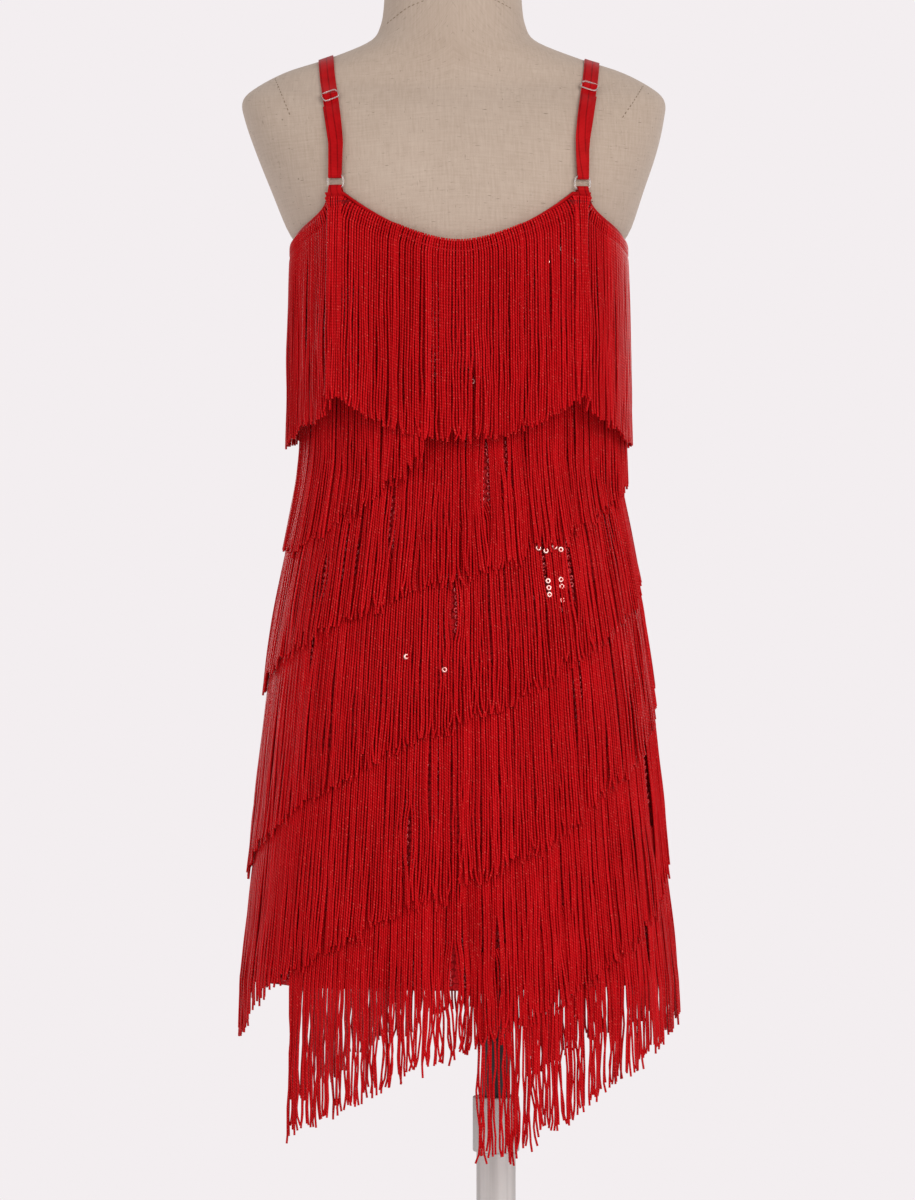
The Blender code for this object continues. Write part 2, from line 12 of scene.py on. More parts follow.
import bmesh
import bpy
import numpy as np
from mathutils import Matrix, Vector


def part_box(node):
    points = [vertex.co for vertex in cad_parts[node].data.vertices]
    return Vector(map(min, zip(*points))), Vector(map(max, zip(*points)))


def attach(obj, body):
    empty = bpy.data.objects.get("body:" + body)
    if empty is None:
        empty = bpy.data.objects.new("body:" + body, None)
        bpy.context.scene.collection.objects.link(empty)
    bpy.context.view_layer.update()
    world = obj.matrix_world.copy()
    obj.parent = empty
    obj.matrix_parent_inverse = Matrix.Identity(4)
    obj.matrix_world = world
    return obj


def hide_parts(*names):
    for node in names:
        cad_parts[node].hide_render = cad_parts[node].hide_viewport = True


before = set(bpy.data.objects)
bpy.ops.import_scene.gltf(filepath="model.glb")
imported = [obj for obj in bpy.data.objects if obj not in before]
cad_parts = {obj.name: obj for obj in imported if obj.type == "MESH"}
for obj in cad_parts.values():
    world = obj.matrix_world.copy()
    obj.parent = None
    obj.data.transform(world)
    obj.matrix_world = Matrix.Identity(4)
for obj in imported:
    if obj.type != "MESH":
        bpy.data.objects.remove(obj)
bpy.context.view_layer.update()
print("nodes in the frame:", len(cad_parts))

# %% [markdown]
# ## Camera
# The dress is seen square from behind, from a little over three metres and at the height of its
# waist. A long lens keeps its sides parallel, as a studio's would.

# %% Camera
form_low, form_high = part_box("dress_form")
MIDDLE_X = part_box("cloth_back")[0].x / 2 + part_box("cloth_back")[1].x / 2
CAMERA_DISTANCE = 3.2
CAMERA_HEIGHT = 0.765
VIEW_WIDTH = 0.68625            # what the picture's width takes in, at the pole

camera_data = bpy.data.cameras.new("camera")
camera_data.sensor_fit = "HORIZONTAL"
camera_data.sensor_width = 36.0
camera_data.lens = 36.0 * CAMERA_DISTANCE / VIEW_WIDTH
camera = bpy.data.objects.new("camera", camera_data)
camera.location = (MIDDLE_X - 0.0011, -CAMERA_DISTANCE, CAMERA_HEIGHT)
camera.rotation_euler = (math.radians(90.0), 0.0, 0.0)
bpy.context.scene.collection.objects.link(camera)
bpy.context.scene.camera = camera
print("lens:", round(camera_data.lens, 1), "mm")

# %% [markdown]
# ## Small helpers for materials
# A finish is a tree of nodes. One function adds a node with its settings and links, and another
# turns a paint-chart colour into the linear light that the shader works in.

# %% Material helpers


def colour(code):
    """An sRGB hex colour as linear red, green, blue and alpha."""
    parts = [int(code[i:i + 2], 16) / 255.0 for i in (1, 3, 5)]
    linear = [part / 12.92 if part <= 0.04045 else ((part + 0.055) / 1.055)**2.4 for part in parts]
    return (*linear, 1.0)


def add_node(tree, kind, settings=None, **links):
    """A node of a kind. Settings set its properties; links set or join its inputs, by name."""
    node = tree.nodes.new(kind)
    for name, value in (settings or {}).items():
        setattr(node, name, value)
    for name, value in links.items():
        key = int(name[1:]) if name[0] == "_" else name.replace("_", " ")
        socket = node.inputs[key]
        if isinstance(value, bpy.types.NodeSocket):
            tree.links.new(value, socket)
        else:
            socket.default_value = value
    return node


def new_finish(name, **values):
    """A material and its Principled shader, with the values that are the same all over."""
    finish = bpy.data.materials.new(name)
    finish.use_nodes = True
    shader = finish.node_tree.nodes["Principled BSDF"]
    for key, value in values.items():
        shader.inputs[key.replace("_", " ")].default_value = value
    return finish, finish.node_tree, shader


def ramp(tree, factor, stops):
    """A colour ramp with its stops of (place, hex colour)."""
    node = add_node(tree, "ShaderNodeValToRGB", Fac=factor)
    elements = node.color_ramp.elements
    while len(elements) < len(stops):
        elements.new(0.5)
    for element, (place, code) in zip(elements, stops):
        element.position = place
        element.color = colour(code)
    return node.outputs["Color"]


def bump(tree, shader, height, strength, distance):
    """Relief on a shader from a height."""
    node = add_node(tree, "ShaderNodeBump", Height=height, Strength=strength, Distance=distance)
    tree.links.new(node.outputs["Normal"], shader.inputs["Normal"])


def math_node(tree, operation, first, second=0.0, third=0.0, clamp=False):
    """One step of arithmetic."""
    return add_node(tree, "ShaderNodeMath", {"operation": operation, "use_clamp": clamp},
                    _0=first, _1=second, _2=third).outputs[0]


def blend(tree, *parts):
    """The sum of (value, weight) pairs."""
    total = 0.0
    for value, weight in parts:
        total = math_node(tree, "MULTIPLY_ADD", value, weight, total)
    return total


def place_in(tree):
    """Object coordinates, in metres."""
    return add_node(tree, "ShaderNodeTexCoord").outputs["Object"]


def uv_in(tree):
    """The UV map that all pieces carry, in metres, and its two parts."""
    uv = add_node(tree, "ShaderNodeUVMap", {"uv_map": "along"}).outputs["UV"]
    split = add_node(tree, "ShaderNodeSeparateXYZ", Vector=uv)
    return uv, split.outputs["X"], split.outputs["Y"]


def noise(tree, place, scale, detail=2.0):
    """Noise with a scale in marks to the metre."""
    return add_node(tree, "ShaderNodeTexNoise", Vector=place, Scale=scale,
                    Detail=detail).outputs["Fac"]


def half_wave(tree, angle):
    """A sine wave between 0 and 1."""
    return math_node(tree, "MULTIPLY_ADD", math_node(tree, "SINE", angle), 0.5, 0.5)


def paint(tree, shader, factor, stops):
    """The shader's colour from a ramp."""
    tree.links.new(ramp(tree, factor, stops), shader.inputs["Base Color"])


def flecked(tree, shader, ground, amount, code):
    """The shader's colour: a ground with flecks of another colour over it."""
    mix = add_node(tree, "ShaderNodeMix", {"data_type": "RGBA"}, Factor=amount, _6=ground,
                   _7=colour(code))
    tree.links.new(mix.outputs[2], shader.inputs["Base Color"])


# %% [markdown]
# ## Twisted rayon cord
# Fringe cord is bright rayon, chained or twisted. Silky thread gives a soft gleam along each
# strand, and the twist breaks it into slanting beads about 2 mm apart. The beads are painted into
# the colour too, lighter on their crests and darker between them, with small pale flecks on the
# crests: painted highlight and painted shade over the relief. The pattern follows each string by
# its own UV map: U goes round it and V along it, in metres. A number held by each string makes it
# a shade lighter or darker than its neighbour.

# %% Cord finish
CORD_TWIST = 0.0021             # metres from one bead of the twist to the next
SILK_GLEAM = colour("#FF6A60")  # dyed yarn tints its own gleam


def cord_finish():
    finish, tree, shader = new_finish("twisted_rayon_cord", Roughness=0.38, IOR=1.47,
                                      Specular_IOR_Level=0.30, Specular_Tint=SILK_GLEAM)
    _, around, along = uv_in(tree)
    turns = math_node(tree, "MULTIPLY_ADD", along, 1.0 / CORD_TWIST, around)
    bead = half_wave(tree, math_node(tree, "MULTIPLY", turns, 2.0 * math.pi))
    place = place_in(tree)
    tone = add_node(tree, "ShaderNodeAttribute", {"attribute_name": "tone"}).outputs["Fac"]
    # Painted highlight and shade: the bead makes the colour lighter on the twist's crests and darker in
    # its grooves.
    mixed = blend(tree, (bead, 0.30), (tone, 0.42), (noise(tree, place, 38.0), 0.28))
    ground = ramp(tree, mixed, [(0.15, "#92040A"), (0.5, "#BC0A12"), (0.9, "#DA1821")])
    # Painted highlights: small pale flecks on the bead crests stand in for glints of light on the
    # twist.
    fine = math_node(tree, "SUBTRACT", noise(tree, place, 800.0, 1.0), 0.60)
    painted_glint_spots = math_node(tree, "MULTIPLY", fine, 7.0, clamp=True)
    amount = math_node(tree, "MULTIPLY", painted_glint_spots, math_node(tree, "MULTIPLY", bead, 0.50))
    flecked(tree, shader, ground, amount, "#F8685E")
    bump(tree, shader, bead, 0.45, 0.0003)
    return finish


CORD = cord_finish()

# %% [markdown]
# ## Sequinned stretch mesh
# The tube is knitted net with small cup sequins sewn on in upright chains. Most of it is hidden
# under the fringe, so the rows of sequins are drawn by the finish: a voronoi net, only a little
# random so that its cells keep to rows, gives the discs, and the gaps between them stay dark net.

# %% Sequinned cloth finish
SEQUIN_PITCH = 0.0052


def sequin_cloth_finish():
    finish, tree, shader = new_finish("sequinned_stretch_mesh", Roughness=0.38, IOR=1.5,
                                      Specular_IOR_Level=0.3, Specular_Tint=SILK_GLEAM)
    uv, _, _ = uv_in(tree)
    cells = add_node(tree, "ShaderNodeTexVoronoi", {"feature": "F1"}, Vector=uv,
                     Scale=1.0 / SEQUIN_PITCH, Randomness=0.25)
    near = cells.outputs["Distance"]
    paint(tree, shader, near, [(0.0, "#80080E"), (0.1, "#C0141C"), (0.42, "#D42028"),
                               (0.52, "#8E0A11")])
    cup = math_node(tree, "MULTIPLY_ADD", noise(tree, uv, 260.0, 1.0), 0.6, near)
    bump(tree, shader, cup, 0.9, 0.0012)
    return finish


def sequin_finish(name, stops, metal):
    finish, tree, shader = new_finish(name, Roughness=0.24, IOR=1.5, Metallic=metal,
                                      Coat_Weight=0.6, Coat_Roughness=0.08)
    paint(tree, shader, noise(tree, place_in(tree), 300.0, 1.0), stops)
    return finish


SEQUIN_CLOTH = sequin_cloth_finish()
SEQUIN = sequin_finish("moulded_sequin", [(0.3, "#A80C14"), (0.7, "#DC2A30")], 0.0)
# Painted highlight: a pale pink copy of the red sequin finish, for the sequins that glint.
PAINTED_GLINT_SEQUIN = sequin_finish("mirror_sequin", [(0.3, "#E88880"), (0.7, "#FBD0C8")], 0.9)

# %% [markdown]
# ## Satin elastic, and the thread that sews it
# Strap elastic is woven of satin yarn over rubber, with two ridges down its length and fine
# cross ribs. It shines softly across its width. The grooves beside the ridges are painted darker,
# a painted shade. The sewing thread is a duller, darker red.

# %% Satin and thread finishes
RIB_PITCH = 0.0011
GROOVE_AT, GROOVE_STEP = 0.0040, 0.0052     # the two grooves beside the ridges, and their spacing


def satin_finish():
    finish, tree, shader = new_finish("satin_faced_elastic", Roughness=0.40, IOR=1.48,
                                      Specular_IOR_Level=0.25, Specular_Tint=SILK_GLEAM)
    _, across, along = uv_in(tree)
    rib = half_wave(tree, math_node(tree, "MULTIPLY", along, 2.0 * math.pi / RIB_PITCH))
    tone = blend(tree, (rib, 0.25), (noise(tree, place_in(tree), 90.0, 3.0), 0.75))
    sides = math_node(tree, "MULTIPLY", math_node(tree, "SUBTRACT", across, GROOVE_AT),
                      2.0 * math.pi / GROOVE_STEP)
    groove = math_node(tree, "MAXIMUM", math_node(tree, "COSINE", sides))
    groove = math_node(tree, "POWER", groove, 6.0)
    # Painted shade: the colour is darkened along the two grooves beside the ridges, where shade falls.
    tone = math_node(tree, "SUBTRACT", tone, math_node(tree, "MULTIPLY", groove, 0.42))
    paint(tree, shader, tone, [(0.0, "#6E0409"), (0.25, "#98070D"), (0.5, "#B00B12"),
                               (0.8, "#BE131A")])
    bump(tree, shader, math_node(tree, "SUBTRACT", rib, groove), 0.35, 0.0002)
    return finish


def thread_finish(name, dark, light):
    finish, tree, shader = new_finish(name, Roughness=0.6, IOR=1.5, Specular_IOR_Level=0.2)
    paint(tree, shader, noise(tree, place_in(tree), 700.0, 1.0), [(0.3, dark), (0.7, light)])
    return finish


SATIN = satin_finish()
THREAD = thread_finish("polyester_thread", "#5A0409", "#84080E")
BRIGHT_THREAD = thread_finish("bright_polyester_thread", "#A60D15", "#D02A32")
FLAX = thread_finish("flax_thread", "#75644F", "#93806B")

# %% [markdown]
# ## Natural linen with slubs
# The form is covered in plain-woven flax. Its threads are spun unevenly, so thick places, called
# slubs, show as short dark dashes along both directions of the weave, over faint streaks. The
# thread spacing is drawn at 0.8 mm, a little coarse, so that it shows. The UV map is in metres.

# %% Linen finish
THREAD_PITCH = 0.0008


def linen_finish():
    finish, tree, shader = new_finish("natural_slub_linen", Roughness=0.88, IOR=1.45,
                                      Sheen_Weight=0.12)
    uv, *both = uv_in(tree)

    def streaks(across, along, seed, detail):
        """Noise drawn out along one direction of the weave, in marks to the metre."""
        stretched = add_node(tree, "ShaderNodeMapping", Vector=uv, Scale=(across, along, 1.0),
                             Location=(seed, seed * 0.7, 0.0)).outputs["Vector"]
        return noise(tree, stretched, 1.0, detail)

    def dashes(across, along, seed, level):
        """The few darkest places of such noise."""
        over = math_node(tree, "SUBTRACT", streaks(across, along, seed, 1.0), level)
        return math_node(tree, "MULTIPLY", over, 9.0, clamp=True)

    warp, weft = streaks(640.0, 60.0, 3.1, 3.0), streaks(45.0, 700.0, 9.7, 3.0)
    tone = blend(tree, (warp, 0.42), (weft, 0.33), (noise(tree, uv, 14.0, 3.0), 0.25))
    ground = ramp(tree, tone, [(0.28, "#AE9A88"), (0.5, "#BBA796"), (0.72, "#C6B3A2")])
    flecks = math_node(tree, "ADD", dashes(150.0, 1100.0, 5.3, 0.685),
                       dashes(1100.0, 170.0, 1.9, 0.715), clamp=True)
    knots = add_node(tree, "ShaderNodeTexVoronoi", {"feature": "F1"}, Vector=uv, Scale=42.0)
    specks = math_node(tree, "LESS_THAN", knots.outputs["Distance"], 0.030)
    flecks = math_node(tree, "MULTIPLY_ADD", specks, 0.7, flecks, clamp=True)
    flecked(tree, shader, ground, math_node(tree, "MULTIPLY", flecks, 0.80), "#6E5F4E")
    weave = math_node(tree, "MULTIPLY", *(
        math_node(tree, "SINE", math_node(tree, "MULTIPLY", part, 2.0 * math.pi / THREAD_PITCH))
        for part in both))
    height = blend(tree, (weave, 0.3), (warp, 1.0), (weft, 1.0))
    bump(tree, shader, height, 0.35, 0.0005)
    return finish


LINEN = linen_finish()

# %% [markdown]
# ## Clear plastic and the painted pole
# Rings and sliders are moulded in clear acrylic, which shows as a pale glassy outline. The inner
# rod is steel with a satin black coat; the outer tube, its collar and the base are grey paint
# with a faint orange-peel and scuffs from sliding up and down.

# %% Plastic and metal finishes


def clear_finish():
    finish, tree, shader = new_finish("clear_acrylic", Roughness=0.12, IOR=1.49,
                                      Transmission_Weight=0.70)
    paint(tree, shader, noise(tree, place_in(tree), 400.0), [(0.3, "#EDE6E0"), (0.7, "#FFFFFF")])
    return finish


def painted_steel(name, dark, light, roughness, scuff):
    """Coated steel: two close shades in long streaks down the pole, and a fine peel."""
    finish, tree, shader = new_finish(name, IOR=1.5)
    place = place_in(tree)
    long_way = add_node(tree, "ShaderNodeMapping", Vector=place, Scale=(160.0, 160.0, 6.0))
    streak = noise(tree, long_way.outputs["Vector"], 1.0, 4.0)
    paint(tree, shader, streak, [(0.35, dark), (0.65, light)])
    tree.links.new(math_node(tree, "MULTIPLY_ADD", streak, scuff, roughness),
                   shader.inputs["Roughness"])
    bump(tree, shader, noise(tree, place, 900.0), 0.03, 0.0002)
    return finish


CLEAR = clear_finish()
BLACK = painted_steel("satin_black_steel", "#1B1B1D", "#2A2A2D", 0.28, 0.18)
GREY = painted_steel("light_grey_steel", "#BBB6B2", "#D3CECA", 0.45, 0.20)
print("finishes:", ", ".join(sorted(found.name for found in bpy.data.materials)))

# %% [markdown]
# ## Sizes read from the frame
# The form and the cloth are rows of rounded sections, one above the other. Each level of the
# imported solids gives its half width, its depth to the back and front, how square it is and where
# its middle lies. A smooth curve through these rows gives the section at any height.

# %% Read the sections
HEIGHT_STEP = 0.0005
COLUMNS_ROUND = 48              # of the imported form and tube
Section = namedtuple("Section", "half back front power middle")


def read_all(items, label, kind=float, size=1):
    """One value, or a row of size values, of each item in a mesh's list."""
    values = np.empty(len(items) * size, kind)
    items.foreach_get(label, values)
    return values.reshape(-1, size) if size > 1 else values


def node_points(name):
    """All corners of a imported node, one row each."""
    return read_all(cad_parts[name].data.vertices, "co", size=3)


def read_levels(*names):
    """(height, half width, back, front, power, middle) at each level that goes all the way round."""
    points = np.concatenate([node_points(name) for name in names])
    rows = []
    for height in np.unique(np.round(points[:, 2], 4)):
        ring = points[abs(points[:, 2] - height) < 0.0001]
        wide = np.ptp(ring[:, 0])
        if len(np.unique(np.round(ring[:, :2], 5), axis=0)) < COLUMNS_ROUND:
            continue
        middle = (ring[:, 0].max() + ring[:, 0].min()) / 2
        back, front = -ring[:, 1].min(), ring[:, 1].max()
        behind = ring[ring[:, 1] < 0]
        corner = np.minimum(abs(behind[:, 0] - middle) / (wide / 2), -behind[:, 1] / back).max()
        rows.append((height, wide / 2, back, front, math.log(0.5) / math.log(corner), middle))
    return np.array(rows)


def smooth_between(rows, heights):
    """Values at heights on a smooth curve through rows, whose first column is the height."""
    at = np.clip(heights, rows[0, 0], rows[-1, 0])
    low = np.clip(np.searchsorted(rows[:, 0], at, side="right") - 1, 0, len(rows) - 2)
    before, after = np.maximum(low - 1, 0), np.minimum(low + 2, len(rows) - 1)
    step = (rows[low + 1, 0] - rows[low, 0])[:, None]
    t = (at[:, None] - rows[low, :1]) / step
    rise_low = (rows[low + 1] - rows[before]) / (rows[low + 1, :1] - rows[before, :1]) * step
    rise_high = (rows[after] - rows[low]) / (rows[after, :1] - rows[low, :1]) * step
    curve = ((2 * t**3 - 3 * t**2 + 1) * rows[low] + (t**3 - 2 * t**2 + t) * rise_low
             + (3 * t**2 - 2 * t**3) * rows[low + 1] + (t**3 - t**2) * rise_high)
    return curve[:, 1:]


FORM_ROWS = read_levels("dress_form")
CLOTH_ROWS = read_levels("cloth_back", "cloth_front")
HEM = CLOTH_ROWS[0, 0]
LEVELS = np.arange(0.30, form_high.z + HEIGHT_STEP, HEIGHT_STEP)
FORM_TABLE = smooth_between(FORM_ROWS, LEVELS)
CLOTH_TOP_ROW = CLOTH_ROWS[-1]
EASE = CLOTH_TOP_ROW[1] - np.interp(CLOTH_TOP_ROW[0], LEVELS, FORM_TABLE[:, 0])
CLOTH_TABLE = smooth_between(CLOTH_ROWS, LEVELS)
above = LEVELS > CLOTH_TOP_ROW[0]
CLOTH_TABLE[above] = FORM_TABLE[above] + np.array([EASE, EASE, EASE, 0.0, 0.0])


def section_at(table, heights):
    """Sections of the form or the cloth at heights."""
    return Section(*(np.interp(heights, LEVELS, column) for column in table.T))


def round_body(section, turn, side, out):
    """X and Y on a section: side 1 is the back panel, turn goes from -90 to 90 across it."""
    across, along = np.sin(np.radians(turn)), np.cos(np.radians(turn))
    depth = section.back if side > 0 else section.front
    curve = 2.0 / section.power
    x = section.middle + np.copysign(abs(across)**curve, across) * (section.half + out)
    return x, -side * np.maximum(along, 0.0)**curve * (depth + out)


print("form rows:", len(FORM_ROWS), " cloth rows:", len(CLOTH_ROWS), " ease mm:", round(EASE * 1000, 2))

# %% [markdown]
# ## The upper edge and the slanting headers
# The edge dips to the centre of the neck, runs level under each strap tab and falls away to the
# armhole. Each slanting fringe is sewn on along a line round the tube, read from the top of its
# packed wall, column by column.

# %% Edge and header lines
TAB_FROM, TAB_TO = 30.0, 37.5
BINDING_HEIGHT = 0.004
EDGE_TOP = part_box("binding_neck_back")[1].z
NECK_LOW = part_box("binding_neck_back")[0].z + BINDING_HEIGHT
SIDE_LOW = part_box("binding_arm_back_left")[0].z + BINDING_HEIGHT
ARM_POWER = 1.1                 # how the armhole eases into the side seam


def edge_height(turn):
    """The finished upper edge: neckline, level at the tab, then armhole."""
    turn = np.minimum(abs(np.asarray(turn, float)), 90.0)
    neck = NECK_LOW + (EDGE_TOP - NECK_LOW) * (np.minimum(turn, TAB_FROM) / TAB_FROM)**1.75
    part = np.clip((turn - TAB_TO) / (90.0 - TAB_TO), 0.0, 1.0)
    arm = SIDE_LOW + (EDGE_TOP - SIDE_LOW) * (1.0 - np.sqrt(part))**ARM_POWER
    return np.where(turn < TAB_FROM, neck, np.where(turn <= TAB_TO, EDGE_TOP, arm))


def header_line(name, side):
    """(turns, heights) of the top of a packed fringe wall, one for each of its columns."""
    points = node_points(name)
    section = section_at(CLOTH_TABLE, points[:, 2])
    depth = section.back if side > 0 else section.front
    across = abs(points[:, 0] - section.middle) / section.half
    along = np.maximum(abs(points[:, 1]) / depth, 1e-9)
    turn = np.degrees(np.arctan((across / along)**(section.power / 2)))
    turn = np.round(np.copysign(turn, points[:, 0] - section.middle) / 7.5) * 7.5
    turns = np.unique(turn)
    return turns, np.array([points[turn == column, 2].max() for column in turns])


print("edge:", round(NECK_LOW, 4), round(EDGE_TOP, 4), round(SIDE_LOW, 4))

# %% [markdown]
# ## Helpers for meshes
# A mesh comes from lists of points and faces. Where small things follow a path, a tree of
# Geometry Nodes makes them, and the result is kept as a plain mesh.

# %% Mesh helpers


def new_object(name, points, faces=(), edges=(), finish=None):
    """A mesh object in the scene, at the origin."""
    mesh = bpy.data.meshes.new(name)
    mesh.from_pydata([tuple(point) for point in points], list(edges), list(faces))
    made = bpy.data.objects.new(name, mesh)
    bpy.context.scene.collection.objects.link(made)
    if finish:
        mesh.materials.append(finish)
        mesh.shade_smooth()
    return made


def write_uv(piece, pairs):
    """UV map 'along' from one pair of values a face corner."""
    layer = piece.data.uv_layers.new(name="along")
    layer.data.foreach_set("uv", pairs.astype(np.float32).ravel())


def set_uv(piece, across, along):
    """UV map in metres from one value each a point."""
    corner = read_all(piece.data.loops, "vertex_index", np.int32)
    write_uv(piece, np.stack([np.asarray(across)[corner], np.asarray(along)[corner]], axis=1))


def hold(piece, label, values, kind="FLOAT", key="value"):
    """Each point of a piece holds a value under a label."""
    layer = piece.data.attributes.new(label, kind, "POINT")
    layer.data.foreach_set(key, np.asarray(values, np.float32).ravel())


def ring_faces(rows, count, start=0, closed=False):
    """Quads between rows of points that go round; the last row may join the first."""
    faces = []
    for row in range(rows if closed else rows - 1):
        near, far = start + row * count, start + (row + 1) % rows * count
        for i in range(count):
            j = (i + 1) % count
            faces.append([near + i, near + j, far + j, far + i])
    return faces


def end_caps(rows, count):
    """The two faces that close the first and the last row of points."""
    return [list(range(count))[::-1], list(range((rows - 1) * count, rows * count))]


def face_outward(piece):
    """Turns the faces of a closed piece outward."""
    shape = bmesh.new()
    shape.from_mesh(piece.data)
    bmesh.ops.recalc_face_normals(shape, faces=shape.faces)
    shape.to_mesh(piece.data)
    shape.free()


def mount(piece, slot, *replaced):
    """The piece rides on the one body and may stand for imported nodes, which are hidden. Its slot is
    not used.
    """
    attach(piece, "root")
    if replaced:
        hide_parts(*replaced)
    return piece


def new_tree(name, **inputs):
    """An empty Geometry Nodes tree with named inputs, its input node and its output node."""
    tree = bpy.data.node_groups.new(name, "GeometryNodeTree")
    tree.interface.new_socket("Geometry", in_out="INPUT", socket_type="NodeSocketGeometry")
    for label, kind in inputs.items():
        tree.interface.new_socket(label.replace("_", " "), in_out="INPUT", socket_type=kind)
    tree.interface.new_socket("Geometry", in_out="OUTPUT", socket_type="NodeSocketGeometry")
    return tree, add_node(tree, "NodeGroupInput"), add_node(tree, "NodeGroupOutput")


def end_tree(tree, given, out, geometry):
    """Gives a tree's result its finish and puts it out."""
    finished = add_node(tree, "GeometryNodeSetMaterial", Geometry=geometry,
                        Material=given.outputs["Finish"])
    tree.links.new(finished.outputs["Geometry"], out.inputs["Geometry"])
    return tree


def grow(host, tree, **values):
    """Runs a tree on a host object and leaves the result as the host's plain mesh."""
    modifier = host.modifiers.new(tree.name, "NODES")
    modifier.node_group = tree
    names = {item.name: item.identifier for item in tree.interface.items_tree
             if item.in_out == "INPUT"}
    for label, value in values.items():
        modifier[names[label.replace("_", " ")]] = value
    bpy.context.view_layer.update()
    graph = bpy.context.evaluated_depsgraph_get()
    grown = bpy.data.meshes.new_from_object(host.evaluated_get(graph), depsgraph=graph)
    host.modifiers.remove(modifier)
    host.data = grown
    return host


# %% [markdown]
# ## A tree that turns lines into cord
# The strings are drawn first as plain lines. This tree sweeps a small ring along each of them,
# closes both ends, and keeps how far along and how far round each point is, for the twist.

# %% Cord tree


def mark(tree, curve, label, measure):
    """A curve whose points hold how far along it they are."""
    spline = add_node(tree, "GeometryNodeSplineParameter")
    return add_node(tree, "GeometryNodeStoreNamedAttribute",
                    {"data_type": "FLOAT", "domain": "POINT"}, Geometry=curve, Name=label,
                    Value=spline.outputs[measure]).outputs["Geometry"]


def cord_tree():
    tree, given, out = new_tree("lines to cord", Radius="NodeSocketFloat", Sides="NodeSocketInt",
                                Finish="NodeSocketMaterial")
    lines = add_node(tree, "GeometryNodeMeshToCurve", Mesh=given.outputs["Geometry"])
    girth = add_node(tree, "GeometryNodeInputNamedAttribute", {"data_type": "FLOAT"}, Name="girth")
    sized = add_node(tree, "GeometryNodeSetCurveRadius", Curve=lines.outputs["Curve"],
                     Radius=girth.outputs["Attribute"])
    marked = mark(tree, sized.outputs["Curve"], "length_along", "Length")
    ring = add_node(tree, "GeometryNodeCurvePrimitiveCircle", {"mode": "RADIUS"},
                    Resolution=given.outputs["Sides"], Radius=given.outputs["Radius"])
    ring_marked = mark(tree, ring.outputs["Curve"], "round", "Factor")
    swept = add_node(tree, "GeometryNodeCurveToMesh", Curve=marked, Profile_Curve=ring_marked,
                     Fill_Caps=True)
    return end_tree(tree, given, out, swept.outputs["Mesh"])


CORD_TREE = cord_tree()
CORD_MARKS = ("round", "length_along")


def string_uv(piece):
    """The UV map of swept cord: U round it, V along it; the last face of each ring closes at 1."""
    mesh = piece.data
    around, along = (read_all(mesh.attributes[label].data, "value") for label in CORD_MARKS)
    corner = read_all(mesh.loops, "vertex_index", np.int32)
    sizes = read_all(mesh.polygons, "loop_total", np.int32)
    face = np.repeat(np.arange(len(sizes)), sizes)
    around = around[corner]
    highest = np.zeros(len(sizes))
    np.maximum.at(highest, face, around)
    around = np.where((sizes[face] == 4) & (highest[face] - around > 0.5), around + 1.0, around)
    write_uv(piece, np.stack([around, along[corner]], axis=1))
    for label in CORD_MARKS:
        mesh.attributes.remove(mesh.attributes[label])
    mesh.shade_smooth()


# %% [markdown]
# ## How a string hangs
# Each string leaves its header square to the tape, then hangs straight down, pushed out where
# the body under it widens. Neighbours cling together in bundles of two to six, so their
# spacing is uneven, thin dark lines open between bundles, and the free ends sway apart. Sizes
# of these habits are named here, and a fixed seed makes the same dress each time.

# %% Hanging strings
CORD_RADIUS = 0.00084
CORD_SIDES = 5
STRING_PITCH = 0.00180          # from string to string along a header
STRING_LENGTH = 0.150
HEADER_DROPS = (0.0, 0.0012, 0.0026, 0.0044, 0.0062, 0.0082, 0.0105, 0.0135)
HANGING_POINTS = 21
CLING = (0.02, 0.13)            # share of the way that a bundle's strings close up
FREE_CLING = 0.10               # and how much more below the hem
GROUP_SWAY, OWN_SWAY, FLICK = 0.00032, 0.00019, 0.0008      # metres sideways
FREE_GROUP_SWAY, FREE_OWN_SWAY = 0.00010, 0.00026           # and more below the hem
STAGGER, OWN_DEPTH, GROUP_DEPTH, FREE_DEPTH = 0.00036, 0.00035, 0.0004, 0.0008     # in and out
SETTLE_DROP = 0.0150            # how far down a string hangs upright
HEAD_DROP, HEAD_GIRTH = 0.0090, 0.16        # the header, and how much thicker the cord is there
STITCH_DROP, STITCH_PINCH = 0.0082, 0.10    # the row of stitches that pinches it
TIP_GIRTH = 1.12
Parting = namedtuple("Parting", "turn top bottom width")


def held(value):
    """A value held between 0 and 1."""
    return np.clip(value, 0.0, 1.0)


def drops_for(lengths):
    """How far down each point of each string lies: close together in the header, then even."""
    head = np.array(HEADER_DROPS)
    rest = np.linspace(0.0, 1.0, HANGING_POINTS + 1)[1:]
    below = head[-1] + (lengths[:, None] - head[-1]) * rest
    return np.concatenate([np.tile(head, (len(lengths), 1)), below], axis=1)


def string_turns(side, start, end, head_at, chance, pitch=STRING_PITCH):
    """Turns at which strings leave a header, evenly spaced round it but for a little chance."""
    fine = np.linspace(start, end, 1201)
    x, y = round_body(section_at(CLOTH_TABLE, head_at(fine)), fine, side, 0.0)
    run = np.concatenate([[0.0], np.cumsum(np.hypot(np.diff(x), np.diff(y)))])
    count = int(run[-1] / pitch)
    places = (np.arange(count) + 0.5) * run[-1] / count
    places += chance.normal(0.0, 0.00012, count)
    return np.interp(places, run, fine), run[-1]


def bundle(count, chance):
    """Bundle number of each string, in bundles of two to six."""
    sizes = []
    while sum(sizes) < count:
        sizes.append(int(chance.choice([2, 3, 4, 5, 6], p=[0.25, 0.28, 0.22, 0.15, 0.10])))
    return np.repeat(np.arange(len(sizes)), sizes)[:count]


